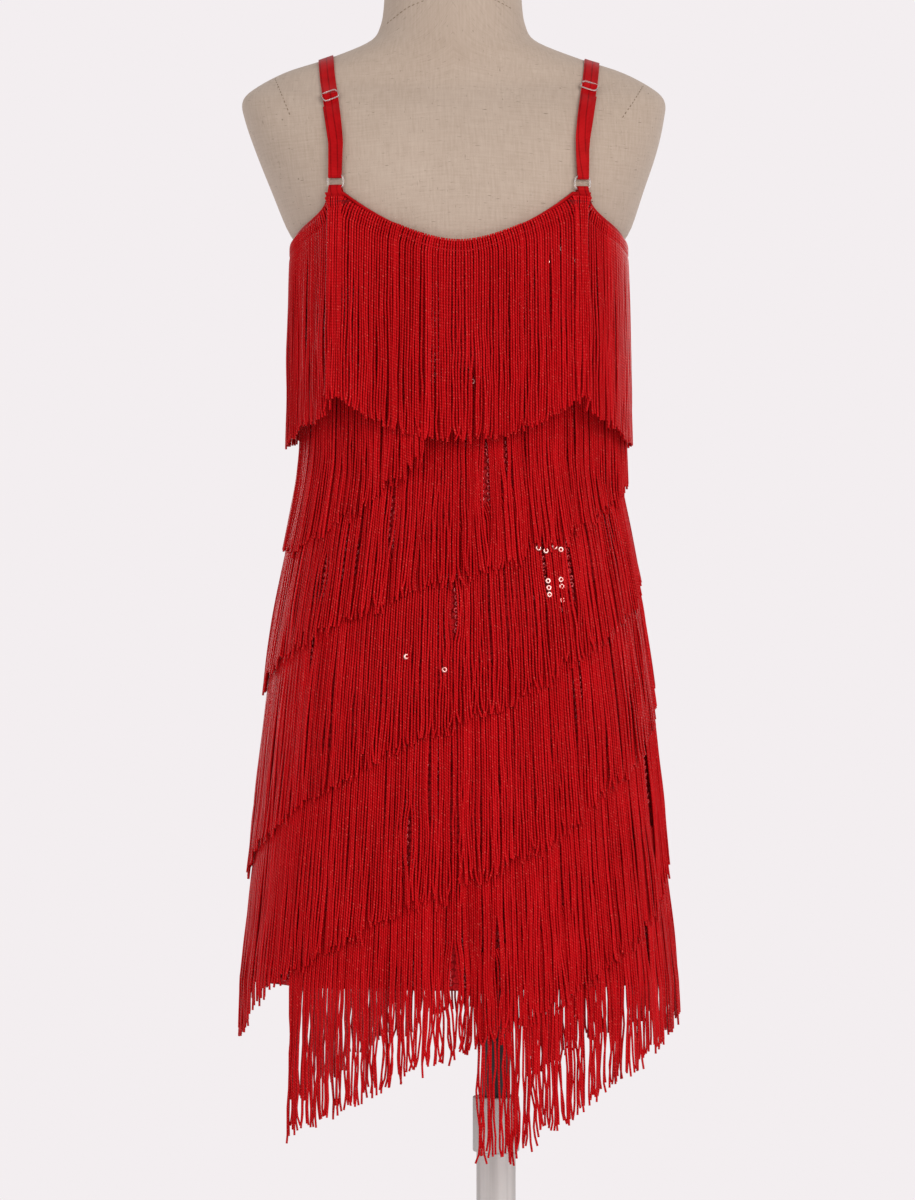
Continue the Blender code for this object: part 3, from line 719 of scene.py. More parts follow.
def smooth_chance(chance, count, points, waves):
    """For each string, a wavy line of about unit size down its points."""
    knots = chance.normal(0.0, 1.0, (count, waves + 3))
    at = np.linspace(0.0, waves, points)
    base = np.floor(at).astype(int)
    t = at - base
    t = t * t * (3.0 - 2.0 * t)
    return knots[:, base] * (1.0 - t) + knots[:, base + 1] * t


def hang_strings(side, turns, head_at, lengths, lift_at, chance, partings=(), header_slant=0.0):
    """Points of all strings of one fringe panel, and the two numbers that each point holds."""
    count = len(turns)
    heads = head_at(turns)
    drops = drops_for(lengths)
    points = drops.shape[1]
    heights = heads[:, None] - drops
    section = section_at(CLOTH_TABLE, heights)
    widest = [np.maximum.accumulate(size, axis=1) for size in section[:3]]
    section = Section(*widest, np.repeat(section.power[:, :1], points, 1),
                      np.repeat(section.middle[:, :1], points, 1))
    per_degree = (section.half[:, :1] + section.back[:, :1]) / 2 * math.pi / 180.0
    fall = drops / STRING_LENGTH
    free = held((HEM + 0.012 - heights) / 0.05)
    group = bundle(count, chance)
    groups = group.max() + 1
    centre = np.array([turns[group == number].mean() for number in range(groups)])[group]
    cling = chance.uniform(*CLING, groups)[group][:, None]
    pull = cling * held(fall * 2.2) + FREE_CLING * free
    shift = (centre[:, None] - turns[:, None]) * per_degree * pull
    group_sway = smooth_chance(chance, groups, points, 4)[group]
    own_sway = smooth_chance(chance, count, points, 14)
    loose = held(fall * 1.6)
    shift += group_sway * (GROUP_SWAY * loose + FREE_GROUP_SWAY * free)
    shift += own_sway * (OWN_SWAY * loose + FREE_OWN_SWAY * free)
    tip = held((drops - lengths[:, None] + 0.010) / 0.010)**2
    shift += tip * chance.normal(0.0, FLICK, (count, 1))
    for parting in partings:
        away = (turns[:, None] - parting.turn) * per_degree
        part = held((parting.top - heights) / (parting.top - parting.bottom))
        push = np.exp(-(away / (parting.width * 1.8))**2) * np.sign(away)
        shift += push * np.sin(part * math.pi)**0.6 * parting.width * 0.5
    slope = np.gradient(heads, turns) / per_degree[:, 0]
    settle = held(drops / SETTLE_DROP)
    shift += np.clip(slope, -1.2, 1.2)[:, None] * header_slant * settle * (2.0 - settle)
    depth = lift_at(drops) + CORD_RADIUS
    stagger = np.where(np.arange(count) % 2, 1.0, -1.0)[:, None]
    stagger = stagger * chance.uniform(0.1, 1.0, (count, 1))
    depth += stagger * STAGGER * held(fall * 3.0)
    depth += smooth_chance(chance, count, points, 5) * OWN_DEPTH * loose
    bundle_depth = smooth_chance(chance, groups, points, 3)[group]
    depth += bundle_depth * (GROUP_DEPTH * loose + FREE_DEPTH * free)
    x, y = round_body(section, turns[:, None] + shift / per_degree, side, depth)
    lines = np.stack([x, y, heights], axis=2)
    pinched = abs(drops - STITCH_DROP) < 0.0008
    girth = chance.uniform(0.92, 1.08, (count, 1)) * (
        1.0 + HEAD_GIRTH * (drops < HEAD_DROP) - STITCH_PINCH * pinched)
    girth[:, -1] *= TIP_GIRTH
    tone = np.repeat(held(chance.normal(0.5, 0.18, (count, 1))), points, axis=1)
    return lines, girth, tone


def make_strings(name, lines, girth, tone):
    """The cord piece of one fringe panel from its strings' lines."""
    count, points = girth.shape
    index = np.arange(count * points).reshape(count, points)
    edges = np.stack([index[:, :-1].ravel(), index[:, 1:].ravel()], axis=1)
    host = new_object(name, lines.reshape(-1, 3), edges=edges.tolist())
    hold(host, "girth", girth)
    hold(host, "tone", tone)
    grow(host, CORD_TREE, Radius=CORD_RADIUS, Sides=CORD_SIDES, Finish=CORD)
    string_uv(host)
    return host


# %% [markdown]
# ## Top fringe
# It runs round the whole upper edge. Its header is a corded gimp about 9 mm deep, whose ribs are
# the tops of the strings themselves: thicker there, side by side, and leaning a little so as to
# stand square to the edge. Near the straps it lies under the smooth elastic; at the centre of the
# neck it rolls over the edge.


def top_head(turns):
    """Where the gimp starts: over the edge at the centre of the neck, under the elastic elsewhere."""
    turns = np.asarray(turns, float)
    near_tab = held((abs(turns) - 15.0) / 12.0)
    to_side = held((abs(turns) - 50.0) / 40.0)
    return edge_height(turns) + 0.0010 - 0.0042 * near_tab + 0.0022 * to_side


def top_lift(drops):
    """How far a string lies off the cloth: rolled over the edge, then sewn down, then hanging."""
    over_edge = 0.0004 * np.exp(-(drops / 0.004)**2)
    stitch_row = 0.0006 * np.exp(-((drops - STITCH_DROP) / 0.0012)**2)
    return 0.0010 + over_edge - stitch_row + 0.0034 * np.sqrt(drops / STRING_LENGTH)


SEAM_TURN, TOP_PITCH = 89.9, 0.001815       # its strings go on evenly across the side seams
TOP_LENGTH, TOP_CHANCE = 0.1465, 0.0013     # of its strings, and by how much they differ
TOP_PARTINGS = {
    "back": [Parting(-78.0, 0.985, 0.880, 0.0046), Parting(-54.0, 1.02, 0.93, 0.0030),
             Parting(-41.0, 0.99, 0.92, 0.0022), Parting(-63.0, 1.00, 0.90, 0.0026),
             Parting(37.0, 1.05, 1.00, 0.0030),
             Parting(5.0, 0.93, 0.87, 0.0012), Parting(-8.0, 1.00, 0.90, 0.0012),
             Parting(57.0, 1.01, 0.93, 0.0016), Parting(22.0, 1.02, 0.96, 0.0014)],
    "front": [Parting(-78.0, 0.985, 0.880, 0.0050), Parting(-60.0, 1.00, 0.90, 0.0024),
              Parting(35.0, 1.03, 0.95, 0.0024),
              Parting(10.0, 0.95, 0.88, 0.0014), Parting(-22.0, 1.00, 0.93, 0.0016)],
}
for number, (label, side) in enumerate((("back", 1), ("front", -1))):
    chance = np.random.default_rng(101 + number)
    turns, run = string_turns(side, -SEAM_TURN, SEAM_TURN, top_head, chance, TOP_PITCH)
    count = len(turns)
    lengths = TOP_LENGTH + chance.normal(0.0, TOP_CHANCE, count) + 0.003 * np.sin(turns / 9.0)**2
    lengths += np.where(chance.random(count) < 0.06, chance.uniform(-0.006, 0.004, count), 0.0)
    parts = hang_strings(side, turns, top_head, lengths, top_lift, chance,
                         TOP_PARTINGS[label], header_slant=0.0048)
    piece = make_strings(f"strings_1_{label}", *parts)
    mount(piece, "cord_fringe", f"fringe_1_{label}")
    print(piece.name, "strings:", len(turns), "header mm:", round(run * 1000),
          "faces:", len(piece.data.polygons))

# %% [markdown]
# ## Slanting fringes
# Each is one length of tape, wound once round the tube on a slant, low at one side seam and high
# at the other. It is cut at the seams, so each panel has its own stretch. The two lowest start
# part of the way across, where their tape begins above the hem.

# %% Fringes 2 to 7
TIER_PARTINGS = {
    "3_back": [Parting(6.6, 0.885, 0.80, 0.0030), Parting(13.5, 0.895, 0.855, 0.0022),
               Parting(-22.5, 0.855, 0.80, 0.0026), Parting(-48.0, 0.80, 0.765, 0.0030)],
    "4_back": [Parting(-50.0, 0.80, 0.715, 0.0040), Parting(-37.0, 0.815, 0.765, 0.0045),
               Parting(60.0, 0.86, 0.80, 0.0030), Parting(24.0, 0.82, 0.765, 0.0022),
               Parting(-3.0, 0.78, 0.735, 0.0024), Parting(34.0, 0.815, 0.750, 0.0034)],
    "5_back": [Parting(-8.0, 0.67, 0.60, 0.0018), Parting(-13.0, 0.615, 0.57, 0.0026),
               Parting(35.0, 0.74, 0.68, 0.0022)],
    "6_back": [Parting(66.0, 0.70, 0.575, 0.0075), Parting(7.0, 0.535, 0.474, 0.0024),
               Parting(62.0, 0.60, 0.52, 0.0040), Parting(-20.0, 0.47, 0.40, 0.0022),
               Parting(30.0, 0.52, 0.50, 0.0018), Parting(-2.0, 0.515, 0.465, 0.0030)],
    "7_back": [Parting(58.0, 0.555, 0.495, 0.0040)],
    "4_front": [Parting(-30.0, 0.78, 0.72, 0.0030), Parting(45.0, 0.86, 0.80, 0.0026)],
    "5_front": [Parting(20.0, 0.70, 0.63, 0.0026), Parting(-50.0, 0.60, 0.54, 0.0030)],
}
TIER_PITCH = {6: 0.00166, 7: 0.00158}       # the lowest two are sewn a little closer
TIER_CHANCE, LOCK = 0.0024, 6   # how strings differ in length, alone and in locks of six
FURTHER_ON = {2: 11.0}          # degrees that a tape runs on past its packed wall, under the next
STARTS_AT = {"6_back": -50.0, "7_back": 3.2}    # turn of a panel's first string, if not its edge


def tier_lift(drops):
    """How far a string lies off the cloth, and so clear of the tier below."""
    return 0.0010 + 0.0038 * drops / STRING_LENGTH


for tier in range(2, 8):
    for side_number, (label, side) in enumerate((("back", 1), ("front", -1))):
        name = f"fringe_{tier}_{label}"
        columns, tops = header_line(name, side)
        slope = (tops[-1] - tops[-3]) / (columns[-1] - columns[-3])
        beyond = max(FURTHER_ON.get(tier, 0.0), 0.001)
        first = STARTS_AT.get(f"{tier}_{label}", max(columns[0], -89.5))
        before = min(first, columns[0]) - 0.001
        start = tops[0] - (tops[1] - tops[0]) / 25.0 * (columns[0] - before)
        tops = np.concatenate([[start], tops, [tops[-1] + slope * beyond]])
        columns = np.concatenate([[before], columns, [columns[-1] + beyond]])

        def head_at(turn, columns=columns, tops=tops):
            return np.interp(turn, columns, tops)

        chance = np.random.default_rng(200 + 10 * tier + side_number)
        turns, run = string_turns(side, first, min(columns[-1], 89.5), head_at, chance,
                                  TIER_PITCH.get(tier, STRING_PITCH))
        count = len(turns)
        lengths = STRING_LENGTH + chance.normal(0.0, TIER_CHANCE, count)
        locks = chance.normal(0.0, TIER_CHANCE, count // LOCK + 1)
        lengths += np.repeat(locks, LOCK)[:count]
        lengths += np.where(chance.random(count) < 0.07, chance.uniform(-0.008, 0.004, count), 0.0)
        parts = hang_strings(side, turns, head_at, lengths, tier_lift, chance,
                             TIER_PARTINGS.get(f"{tier}_{label}", ()), header_slant=0.004)
        piece = make_strings(f"strings_{tier}_{label}", *parts)
        mount(piece, "cord_fringe", name)
        print(piece.name, "strings:", len(turns), "header mm:", round(run * 1000))

# %% [markdown]
# ## The sequinned tube
# A stretch tube lies close on the form down to the hip and flares below it. It is a thin shell
# all round. Below the hip it falls into a few soft uneven folds, which are listed here one by one:
# where each lies, how wide it is, how deep, and how far up it reaches.

# %% Sequinned tube
CLOTH_WALL = 0.0012
TUBE_AROUND, TUBE_LEVELS = 144, 84
Fold = namedtuple("Fold", "side turn width depth top")
FOLDS = [
    Fold(1, -58.0, 9.0, 0.0055, 0.70), Fold(1, -24.0, 7.0, 0.0035, 0.62),
    Fold(1, 12.0, 8.0, 0.0045, 0.66), Fold(1, 47.0, 10.0, 0.0060, 0.73),
    Fold(1, 76.0, 6.0, 0.0040, 0.60), Fold(-1, -64.0, 9.0, 0.0050, 0.68),
    Fold(-1, -31.0, 8.0, 0.0040, 0.60), Fold(-1, 5.0, 10.0, 0.0060, 0.72),
    Fold(-1, 38.0, 7.0, 0.0045, 0.64), Fold(-1, 70.0, 8.0, 0.0050, 0.70),
]


def tube_ring(count):
    """Panel side and turn of each column of a tube, all the way round from the left seam."""
    turns = np.linspace(-90.0, 90.0, count // 2, endpoint=False)
    sides = np.repeat([1, -1], count // 2)
    return sides, np.concatenate([turns, -turns])


def body_point(table, side, turn, height, out):
    """The place on a section at a height, as plain numbers."""
    section = section_at(table, height)
    x, y = round_body(section, turn, side, out)
    return float(x), float(y), float(height)


def fold_depth(side, turn, height):
    """How far the cloth is drawn in at a place by the folds near it."""
    total = 0.0
    for fold in FOLDS:
        if fold.side == side and height < fold.top:
            near = math.exp(-((turn - fold.turn) / fold.width)**2)
            total += fold.depth * near * ((fold.top - height) / (fold.top - HEM))**1.4
    return total


def make_tube():
    """A closed thin shell: outer and inner skins joined round the hem and the upper edge."""
    around, levels = TUBE_AROUND, TUBE_LEVELS
    sides, turns = tube_ring(around)
    skins, across, along = [], [], []
    for skin in (0.0, -CLOTH_WALL):
        for row in range(levels):
            part = row / (levels - 1)
            run = 0.0
            last = None
            for side, turn in zip(sides, turns):
                top = float(edge_height(turn)) - BINDING_HEIGHT - 0.0003
                height = HEM + (top - HEM) * part
                out = skin - 0.0001 - fold_depth(side, turn, height)
                point = body_point(CLOTH_TABLE, side, turn, height, out)
                run += math.dist(point[:2], last[:2]) if last else 0.0
                last = point
                skins.append(point)
                across.append(run)
                along.append(height)
    faces = []
    layer = around * levels
    for quad in ring_faces(levels, around):
        faces += [quad, [layer + index for index in reversed(quad)]]
    for row in (0, levels - 1):
        for i in range(around):
            j = (i + 1) % around
            low, high = row * around + i, row * around + j
            rim = [low, high, layer + high, layer + low]
            faces.append(rim[::-1] if row == 0 else rim)
    tube = new_object("sequinned_tube", skins, faces, finish=SEQUIN_CLOTH)
    set_uv(tube, across, along)
    return tube


tube = make_tube()
mount(tube, "sequin_cloth", "cloth_back", "cloth_front")
tube_area = sum(face.area for face in tube.data.polygons) / 2

# %% [markdown]
# ## The form
# The torso is a smooth body lofted from its sections, close enough together for its curves to
# stay round, and closed at the base and on top of the neck. Its UV map is measured along the
# surface, so the weave keeps its scale over the shoulders.

# %% Linen torso
FORM_AROUND = 128
FORM_STEP = {"shoulders": 0.0025, "elsewhere": 0.006}


def make_form():
    """A closed lofted body; its UV map is measured round from the middle of the back."""
    around = FORM_AROUND
    heights = [float(form_low.z)]
    while heights[-1] < form_high.z - 1e-6:
        step = FORM_STEP["shoulders" if 1.10 < heights[-1] < 1.20 else "elsewhere"]
        heights.append(min(heights[-1] + step, float(form_high.z)))
    sides, turns = tube_ring(around)
    points, across, along = [], [], []
    for row, height in enumerate(heights):
        ring = [body_point(FORM_TABLE, side, turn, height, 0.0)
                for side, turn in zip(sides, turns)]
        middle = around // 4
        run = [0.0] * around
        for i in range(middle + 1, around):
            run[i] = run[i - 1] + math.dist(ring[i], ring[i - 1])
        for i in range(middle - 1, -1, -1):
            run[i] = run[i + 1] - math.dist(ring[i], ring[i + 1])
        climb = [0.0] * around
        if row:
            below = points[-around:]
            climb = [along[i - around] + math.dist(ring[i], below[i]) for i in range(around)]
        points += ring
        across += run
        along += climb
    faces = ring_faces(len(heights), around) + end_caps(len(heights), around)
    torso = new_object("linen_torso", points, faces, finish=LINEN)
    set_uv(torso, across, along)
    torso.data.set_sharp_from_angle(angle=math.radians(50.0))
    return torso


mount(make_form(), "linen", "dress_form")
print("torso width mm:", round((form_high.x - form_low.x) * 1000))

# %% [markdown]
# ## Elastic binding
# The upper edge is finished with a soft elastic, folded over the cloth: a rounded band about
# four millimetres high. It runs in six stretches, along the neck and along each armhole, which
# meet at the strap tabs and at the side seams.

# %% Binding
BINDING_OUT = 0.0009            # past the cloth, on both faces
BINDING_SHAPE = [(1.0, -0.62), (1.0, -0.25), (0.72, -0.06), (0.0, 0.0), (-0.72, -0.06),
                 (-1.0, -0.25), (-1.0, -0.90), (0.0, -1.0), (0.8, -0.93)]


def swept_band(name, spine, profile_at, finish):
    """A closed band: at each place of a spine a ring of points, with both ends closed."""
    points, across, along = [], [], []
    run = 0.0
    for i, place in enumerate(spine):
        ring = profile_at(place)
        middle = sum(ring, Vector()) / len(ring)
        run += (middle - last_middle).length if i else 0.0
        last_middle = middle
        edge = 0.0
        for j, point in enumerate(ring):
            edge += (point - ring[j - 1]).length if j else 0.0
            points.append(point)
            across.append(edge)
            along.append(run)
    faces = ring_faces(len(spine), len(ring)) + end_caps(len(spine), len(ring))
    band = new_object(name, points, faces, finish=finish)
    set_uv(band, across, along)
    face_outward(band)
    band.data.set_sharp_from_angle(angle=math.radians(60.0))
    return band


def binding_ring(side):
    """Gives the rounded section of the binding at a turn: points round the cloth's edge."""
    def ring(turn):
        top = float(edge_height(turn))
        thick = CLOTH_WALL / 2 + BINDING_OUT
        return [Vector(body_point(CLOTH_TABLE, side, turn, top + down * BINDING_HEIGHT,
                                  -CLOTH_WALL / 2 + out * thick)) for out, down in BINDING_SHAPE]
    return ring


for label, side in (("back", 1), ("front", -1)):
    neck = swept_band(f"elastic_neck_{label}", np.linspace(-TAB_TO, TAB_TO, 61),
                      binding_ring(side), SATIN)
    mount(neck, "satin_elastic", f"binding_neck_{label}")
    for arm, sign in (("left", -1), ("right", 1)):
        turns = [sign * turn for turn in np.linspace(TAB_TO + 0.2, 89.9, 41)]
        band = swept_band(f"elastic_arm_{label}_{arm}", turns, binding_ring(side), SATIN)
        mount(band, "satin_elastic", f"binding_arm_{label}_{arm}")
print("binding: 6 stretches, mm high:", BINDING_HEIGHT * 1000)

# %% [markdown]
# ## Where the straps run
# A strap follows the form's surface from its ring on the back, over the shoulder, to the front
# edge. Its path is a line of points found on the form at even angles about a centre inside the
# shoulder, with the surface's direction at each.

# %% Strap path
STRAP_CENTRE_HEIGHT = 1.10
TRACK_FROM, TRACK_TO, TRACK_POINTS = -30.0, 212.0, 122     # degrees about that centre
STRAP_SIGNS = {"left": -1, "right": 1}
STRAP_REACH = {"ring": 0.0895, "top": 0.0992, "front": 0.0895}     # out from the dress's middle
RING_HEIGHT = {"left": 1.0714, "right": 1.0704}


def outside_form(x, y, height):
    """Above 0 outside the form, below 0 inside it."""
    section = section_at(FORM_TABLE, height)
    depth = section.back if y < 0 else section.front
    return (abs((x - section.middle) / section.half)**section.power
            + abs(y / depth)**section.power - 1.0)


def form_spot(x, angle):
    """The form's surface at x, at an angle about the strap centre: 90 is straight up."""
    near, far = 0.0, 0.13
    down, up = math.cos(math.radians(angle)), math.sin(math.radians(angle))
    for _ in range(30):
        middle = (near + far) / 2
        if outside_form(x, -middle * down, STRAP_CENTRE_HEIGHT + middle * up) > 0:
            far = middle
        else:
            near = middle
    return Vector((x, -near * down, STRAP_CENTRE_HEIGHT + near * up))


def form_direction(point):
    """The outward direction of the form's surface at a point."""
    step = 0.0010
    slope = []
    for axis in range(3):
        ahead, behind = point.copy(), point.copy()
        ahead[axis] += step
        behind[axis] -= step
        slope.append(outside_form(*ahead) - outside_form(*behind))
    return Vector(slope).normalized()


def strap_track(sign):
    """(point, outward direction, length so far) along the form, from the ring to the front."""
    track, length = [], 0.0
    for i in range(TRACK_POINTS):
        angle = TRACK_FROM + (TRACK_TO - TRACK_FROM) * i / (TRACK_POINTS - 1)
        rise = math.sin(math.radians(min(max(angle, 0.0), 180.0)))
        end = "ring" if angle < 90.0 else "front"
        reach = STRAP_REACH[end] + (STRAP_REACH["top"] - STRAP_REACH[end]) * rise
        point = form_spot(MIDDLE_X + sign * reach, angle)
        length += (point - track[-1][0]).length if track else 0.0
        track.append((point, form_direction(point), length))
    return track


def length_to(track, height):
    """Length along a track at which it first climbs to a height."""
    for (low, _, start), (high, _, end) in zip(track, track[1:]):
        if low.z <= height <= high.z:
            return start + (end - start) * (height - low.z) / (high.z - low.z)
    raise ValueError("the track does not reach this height")


def spot_on(track, length):
    """Point, outward direction, run direction and width direction at a length along a track."""
    index = 1
    while index < len(track) - 1 and track[index][2] < length:
        index += 1
    (low, low_out, start), (high, high_out, end) = track[index - 1], track[index]
    part = (length - start) / (end - start)
    run = (high - low).normalized()
    out = low_out.lerp(high_out, part)
    out = (out - run * out.dot(run)).normalized()
    return low.lerp(high, part), out, run, out.cross(run).normalized()


TRACKS = {label: strap_track(sign) for label, sign in STRAP_SIGNS.items()}
print("strap path mm:", {label: round(track[-1][2] * 1000) for label, track in TRACKS.items()})

# %% [markdown]
# ## Straps and tabs
# Each strap is one length of elastic. It goes up from the slider over the shoulder, and its back
# end runs down to the ring, turns round it and comes back up inside, so two layers show, a
# little out of line. Woven elastic is thicker along two ridges. The tab below is a short loop of
# the same, gathered at the ring and spread where it is sewn to the edge.

# %% Ribbons
STRAP_WALL, STRAP_WIDTH, STRAP_LIFT = 0.0010, 0.0114, 0.0010
LOOP_WIDTH = {"left": 0.0100, "right": 0.0086}      # where it is gathered in the ring
TAB_FOOT_WIDTH = 0.0142
RING_HALF_WIDTH, RING_HALF_HEIGHT = 0.0054, 0.0050
RING_WIRE, RING_LIFT = 0.0007, 0.0026
LOOP_STEPS, BEND_STEPS, BEND_DROP = 7, 12, 0.0022
SLIDER_HALF, SLIDER_BAR = 0.00525, 0.0013           # half its length, and its middle bar
UNDER_BAR, OVER_BAR = 0.0012, 0.0036                # the strap's lift under its ends and over it
SLIP = 0.0008                   # how far the two layers lie out of line
Station = namedtuple("Station", "middle across width")
FLAT = [(-0.5, -0.5), (-0.5, 0.35), (-0.45, 0.5), (-0.2, 0.56), (0.0, 0.58), (0.2, 0.56),
        (0.45, 0.5), (0.5, 0.35), (0.5, -0.5), (0.0, -0.52)]
RIDGED = [(-0.5, -0.5), (-0.5, 0.35), (-0.44, 0.5), (-0.30, 0.55), (-0.21, 0.95), (-0.12, 0.55),
          (0.0, 0.5), (0.12, 0.55), (0.21, 0.95), (0.30, 0.55), (0.44, 0.5), (0.5, 0.35),
          (0.5, -0.5), (0.25, -0.52), (0.0, -0.5), (-0.25, -0.52)]


def ribbon(name, stations, wall, profile):
    """A strip of elastic through its stations; the profile is in widths and walls."""
    def ring(index):
        station = stations[index]
        before, after = stations[max(index - 1, 0)], stations[min(index + 1, len(stations) - 1)]
        run = (after.middle - before.middle).normalized()
        out = station.across.cross(run).normalized()
        return [station.middle + station.across * (a * station.width) + out * (b * wall)
                for a, b in profile]
    return swept_band(name, range(len(stations)), ring, SATIN)


def loop_round_ring(track, ring, sign_up, wire, inner_end, outer_end, width_at, slip):
    """Stations of a strip that comes along the form, turns round the ring and goes back."""
    point, out, run, across = spot_on(track, ring)
    reach = RING_WIRE + 0.0005 + STRAP_WALL / 2
    centre = point + out * RING_LIFT + run * sign_up * RING_HALF_HEIGHT
    stations = []
    for i in range(LOOP_STEPS):
        along = inner_end + (wire - inner_end) * i / LOOP_STEPS
        spot, lift, _, side = spot_on(track, along)
        middle = spot + lift * (RING_LIFT - reach) + side * slip
        stations.append(Station(middle, side, width_at(along)))
    for i in range(BEND_STEPS + 1):
        bend = math.pi * i / BEND_STEPS
        middle = (centre - out * reach * math.cos(bend)
                  - run * sign_up * BEND_DROP * math.sin(bend)
                  + across * slip * (1 - i / BEND_STEPS))
        stations.append(Station(middle, across, width_at(wire)))
    for i in range(1, LOOP_STEPS + 1):
        part = i / LOOP_STEPS
        along = wire + (outer_end - wire) * part
        spot, lift, _, side = spot_on(track, along)
        height = (RING_LIFT + reach) * (1 - part) + (STRAP_LIFT + UNDER_BAR) * part
        height = height if sign_up > 0 else RING_LIFT + reach * (1 - 0.35 * part)
        stations.append(Station(spot + lift * height, side, width_at(along)))
    return stations


def make_strap(label):
    """The whole strap; returns the length along its track at which the slider sits."""
    track = TRACKS[label]
    low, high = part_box(f"slider_{label}")
    slider = length_to(track, (low.z + high.z) / 2 - 0.0004)
    ring = length_to(track, RING_HEIGHT[label])
    wire = ring + RING_HALF_HEIGHT
    below = slider - SLIDER_HALF - 0.003
    narrow = LOOP_WIDTH[label]

    def width_at(along):
        return narrow + (STRAP_WIDTH - narrow) * min(max((along - wire) / 0.045, 0.0), 1.0)**0.7

    stations = loop_round_ring(track, ring, 1, wire, below, below - 0.003, width_at,
                               -SLIP * STRAP_SIGNS[label])
    _, total = min((abs(point.z - EDGE_TOP - 0.0006) + (point.y < 0), length)
                   for point, _, length in track)
    along = below
    crest = SLIDER_HALF - SLIDER_BAR / 2
    while along < total:
        spot, out, _, across = spot_on(track, along)
        near = abs(along - slider)
        lift = UNDER_BAR if near < SLIDER_HALF + 0.004 else STRAP_LIFT
        if near < crest:
            lift += OVER_BAR * (0.5 + 0.5 * math.cos(math.pi * near / crest))
        stations.append(Station(spot + out * lift, across, STRAP_WIDTH))
        along += 0.0006 if near < SLIDER_HALF + 0.001 else 0.0030
    spot, out, _, across = spot_on(track, total)
    stations.append(Station(spot + out * STRAP_LIFT, across, STRAP_WIDTH))
    mount(ribbon(f"satin_strap_{label}", stations, STRAP_WALL, RIDGED), "satin_elastic",
          f"strap_{label}")
    return slider


def make_tab(label):
    """The loop that holds the ring: gathered at the top, spread where it joins the edge."""
    track = TRACKS[label]
    ring = length_to(track, RING_HEIGHT[label])
    wire = ring - RING_HALF_HEIGHT
    foot = length_to(track, EDGE_TOP) - 0.0045

    def width_at(along):
        part = min(max((wire - along) / (wire - foot), 0.0), 1.0)
        return LOOP_WIDTH[label] + (TAB_FOOT_WIDTH - LOOP_WIDTH[label]) * part**1.2

    stations = loop_round_ring(track, ring, -1, wire, foot + 0.005, foot, width_at, 0.0)
    mount(ribbon(f"satin_tab_{label}", stations, STRAP_WALL * 0.9, FLAT), "satin_elastic",
          f"tab_{label}")


SLIDERS = {}
for label in STRAP_SIGNS:
    SLIDERS[label] = make_strap(label)
    make_tab(label)
print("slider places mm:", {label: round(at * 1000) for label, at in SLIDERS.items()})

# %% [markdown]
# ## Stitches
# One tree sets a stitch at even steps along any line: a small drop of thread, lying along it. It
# sews the row of chain stitch on the gimp, a dense dark patch below each tab, and the seams of
# the form, whose thread is the colour of flax.

# %% Stitch tree


def stitch_tree():
    tree, given, out = new_tree("stitches along lines", Spacing="NodeSocketFloat",
                                Stitch_Length="NodeSocketFloat", Thread_Radius="NodeSocketFloat",
                                Finish="NodeSocketMaterial")
    lines = add_node(tree, "GeometryNodeMeshToCurve", Mesh=given.outputs["Geometry"])
    spots = add_node(tree, "GeometryNodeCurveToPoints", {"mode": "LENGTH"},
                     Curve=lines.outputs["Curve"], Length=given.outputs["Spacing"])
    drop = add_node(tree, "GeometryNodeMeshIcoSphere", Radius=0.5, Subdivisions=2)
    size = add_node(tree, "ShaderNodeCombineXYZ", X=given.outputs["Thread Radius"],
                    Y=given.outputs["Thread Radius"], Z=given.outputs["Stitch Length"])
    uneven = add_node(tree, "FunctionNodeRandomValue", {"data_type": "FLOAT"}, _2=0.85, _3=1.15,
                      Seed=7)
    scale = add_node(tree, "ShaderNodeVectorMath", {"operation": "SCALE"},
                     Vector=size.outputs["Vector"], Scale=uneven.outputs[1])
    sewn = add_node(tree, "GeometryNodeInstanceOnPoints", Points=spots.outputs["Points"],
                    Instance=drop.outputs["Mesh"], Rotation=spots.outputs["Rotation"],
                    Scale=scale.outputs["Vector"])
    real = add_node(tree, "GeometryNodeRealizeInstances", Geometry=sewn.outputs["Instances"])
    return end_tree(tree, given, out, real.outputs["Geometry"])


STITCH_TREE = stitch_tree()


def sew(name, lines, finish, spacing, length, thickness):
    """A piece of stitches along lines of points."""
    points, edges = [], []
    for line in lines:
        edges += [(len(points) + i, len(points) + i + 1) for i in range(len(line) - 1)]
        points += line
    piece = grow(new_object(name, points, edges=edges), STITCH_TREE, Spacing=spacing,
                 Stitch_Length=length, Thread_Radius=thickness, Finish=finish)
    piece.data.shade_smooth()
    return mount(piece, None)


def back_point(table, x, height, out):
    """The place on the back of a section at x, raised a little off it."""
    section = section_at(table, height)
    part = min(abs((x - section.middle) / section.half), 1.0)
    return x, -float(section.back * (1.0 - part**section.power)**(1.0 / section.power) + out), height


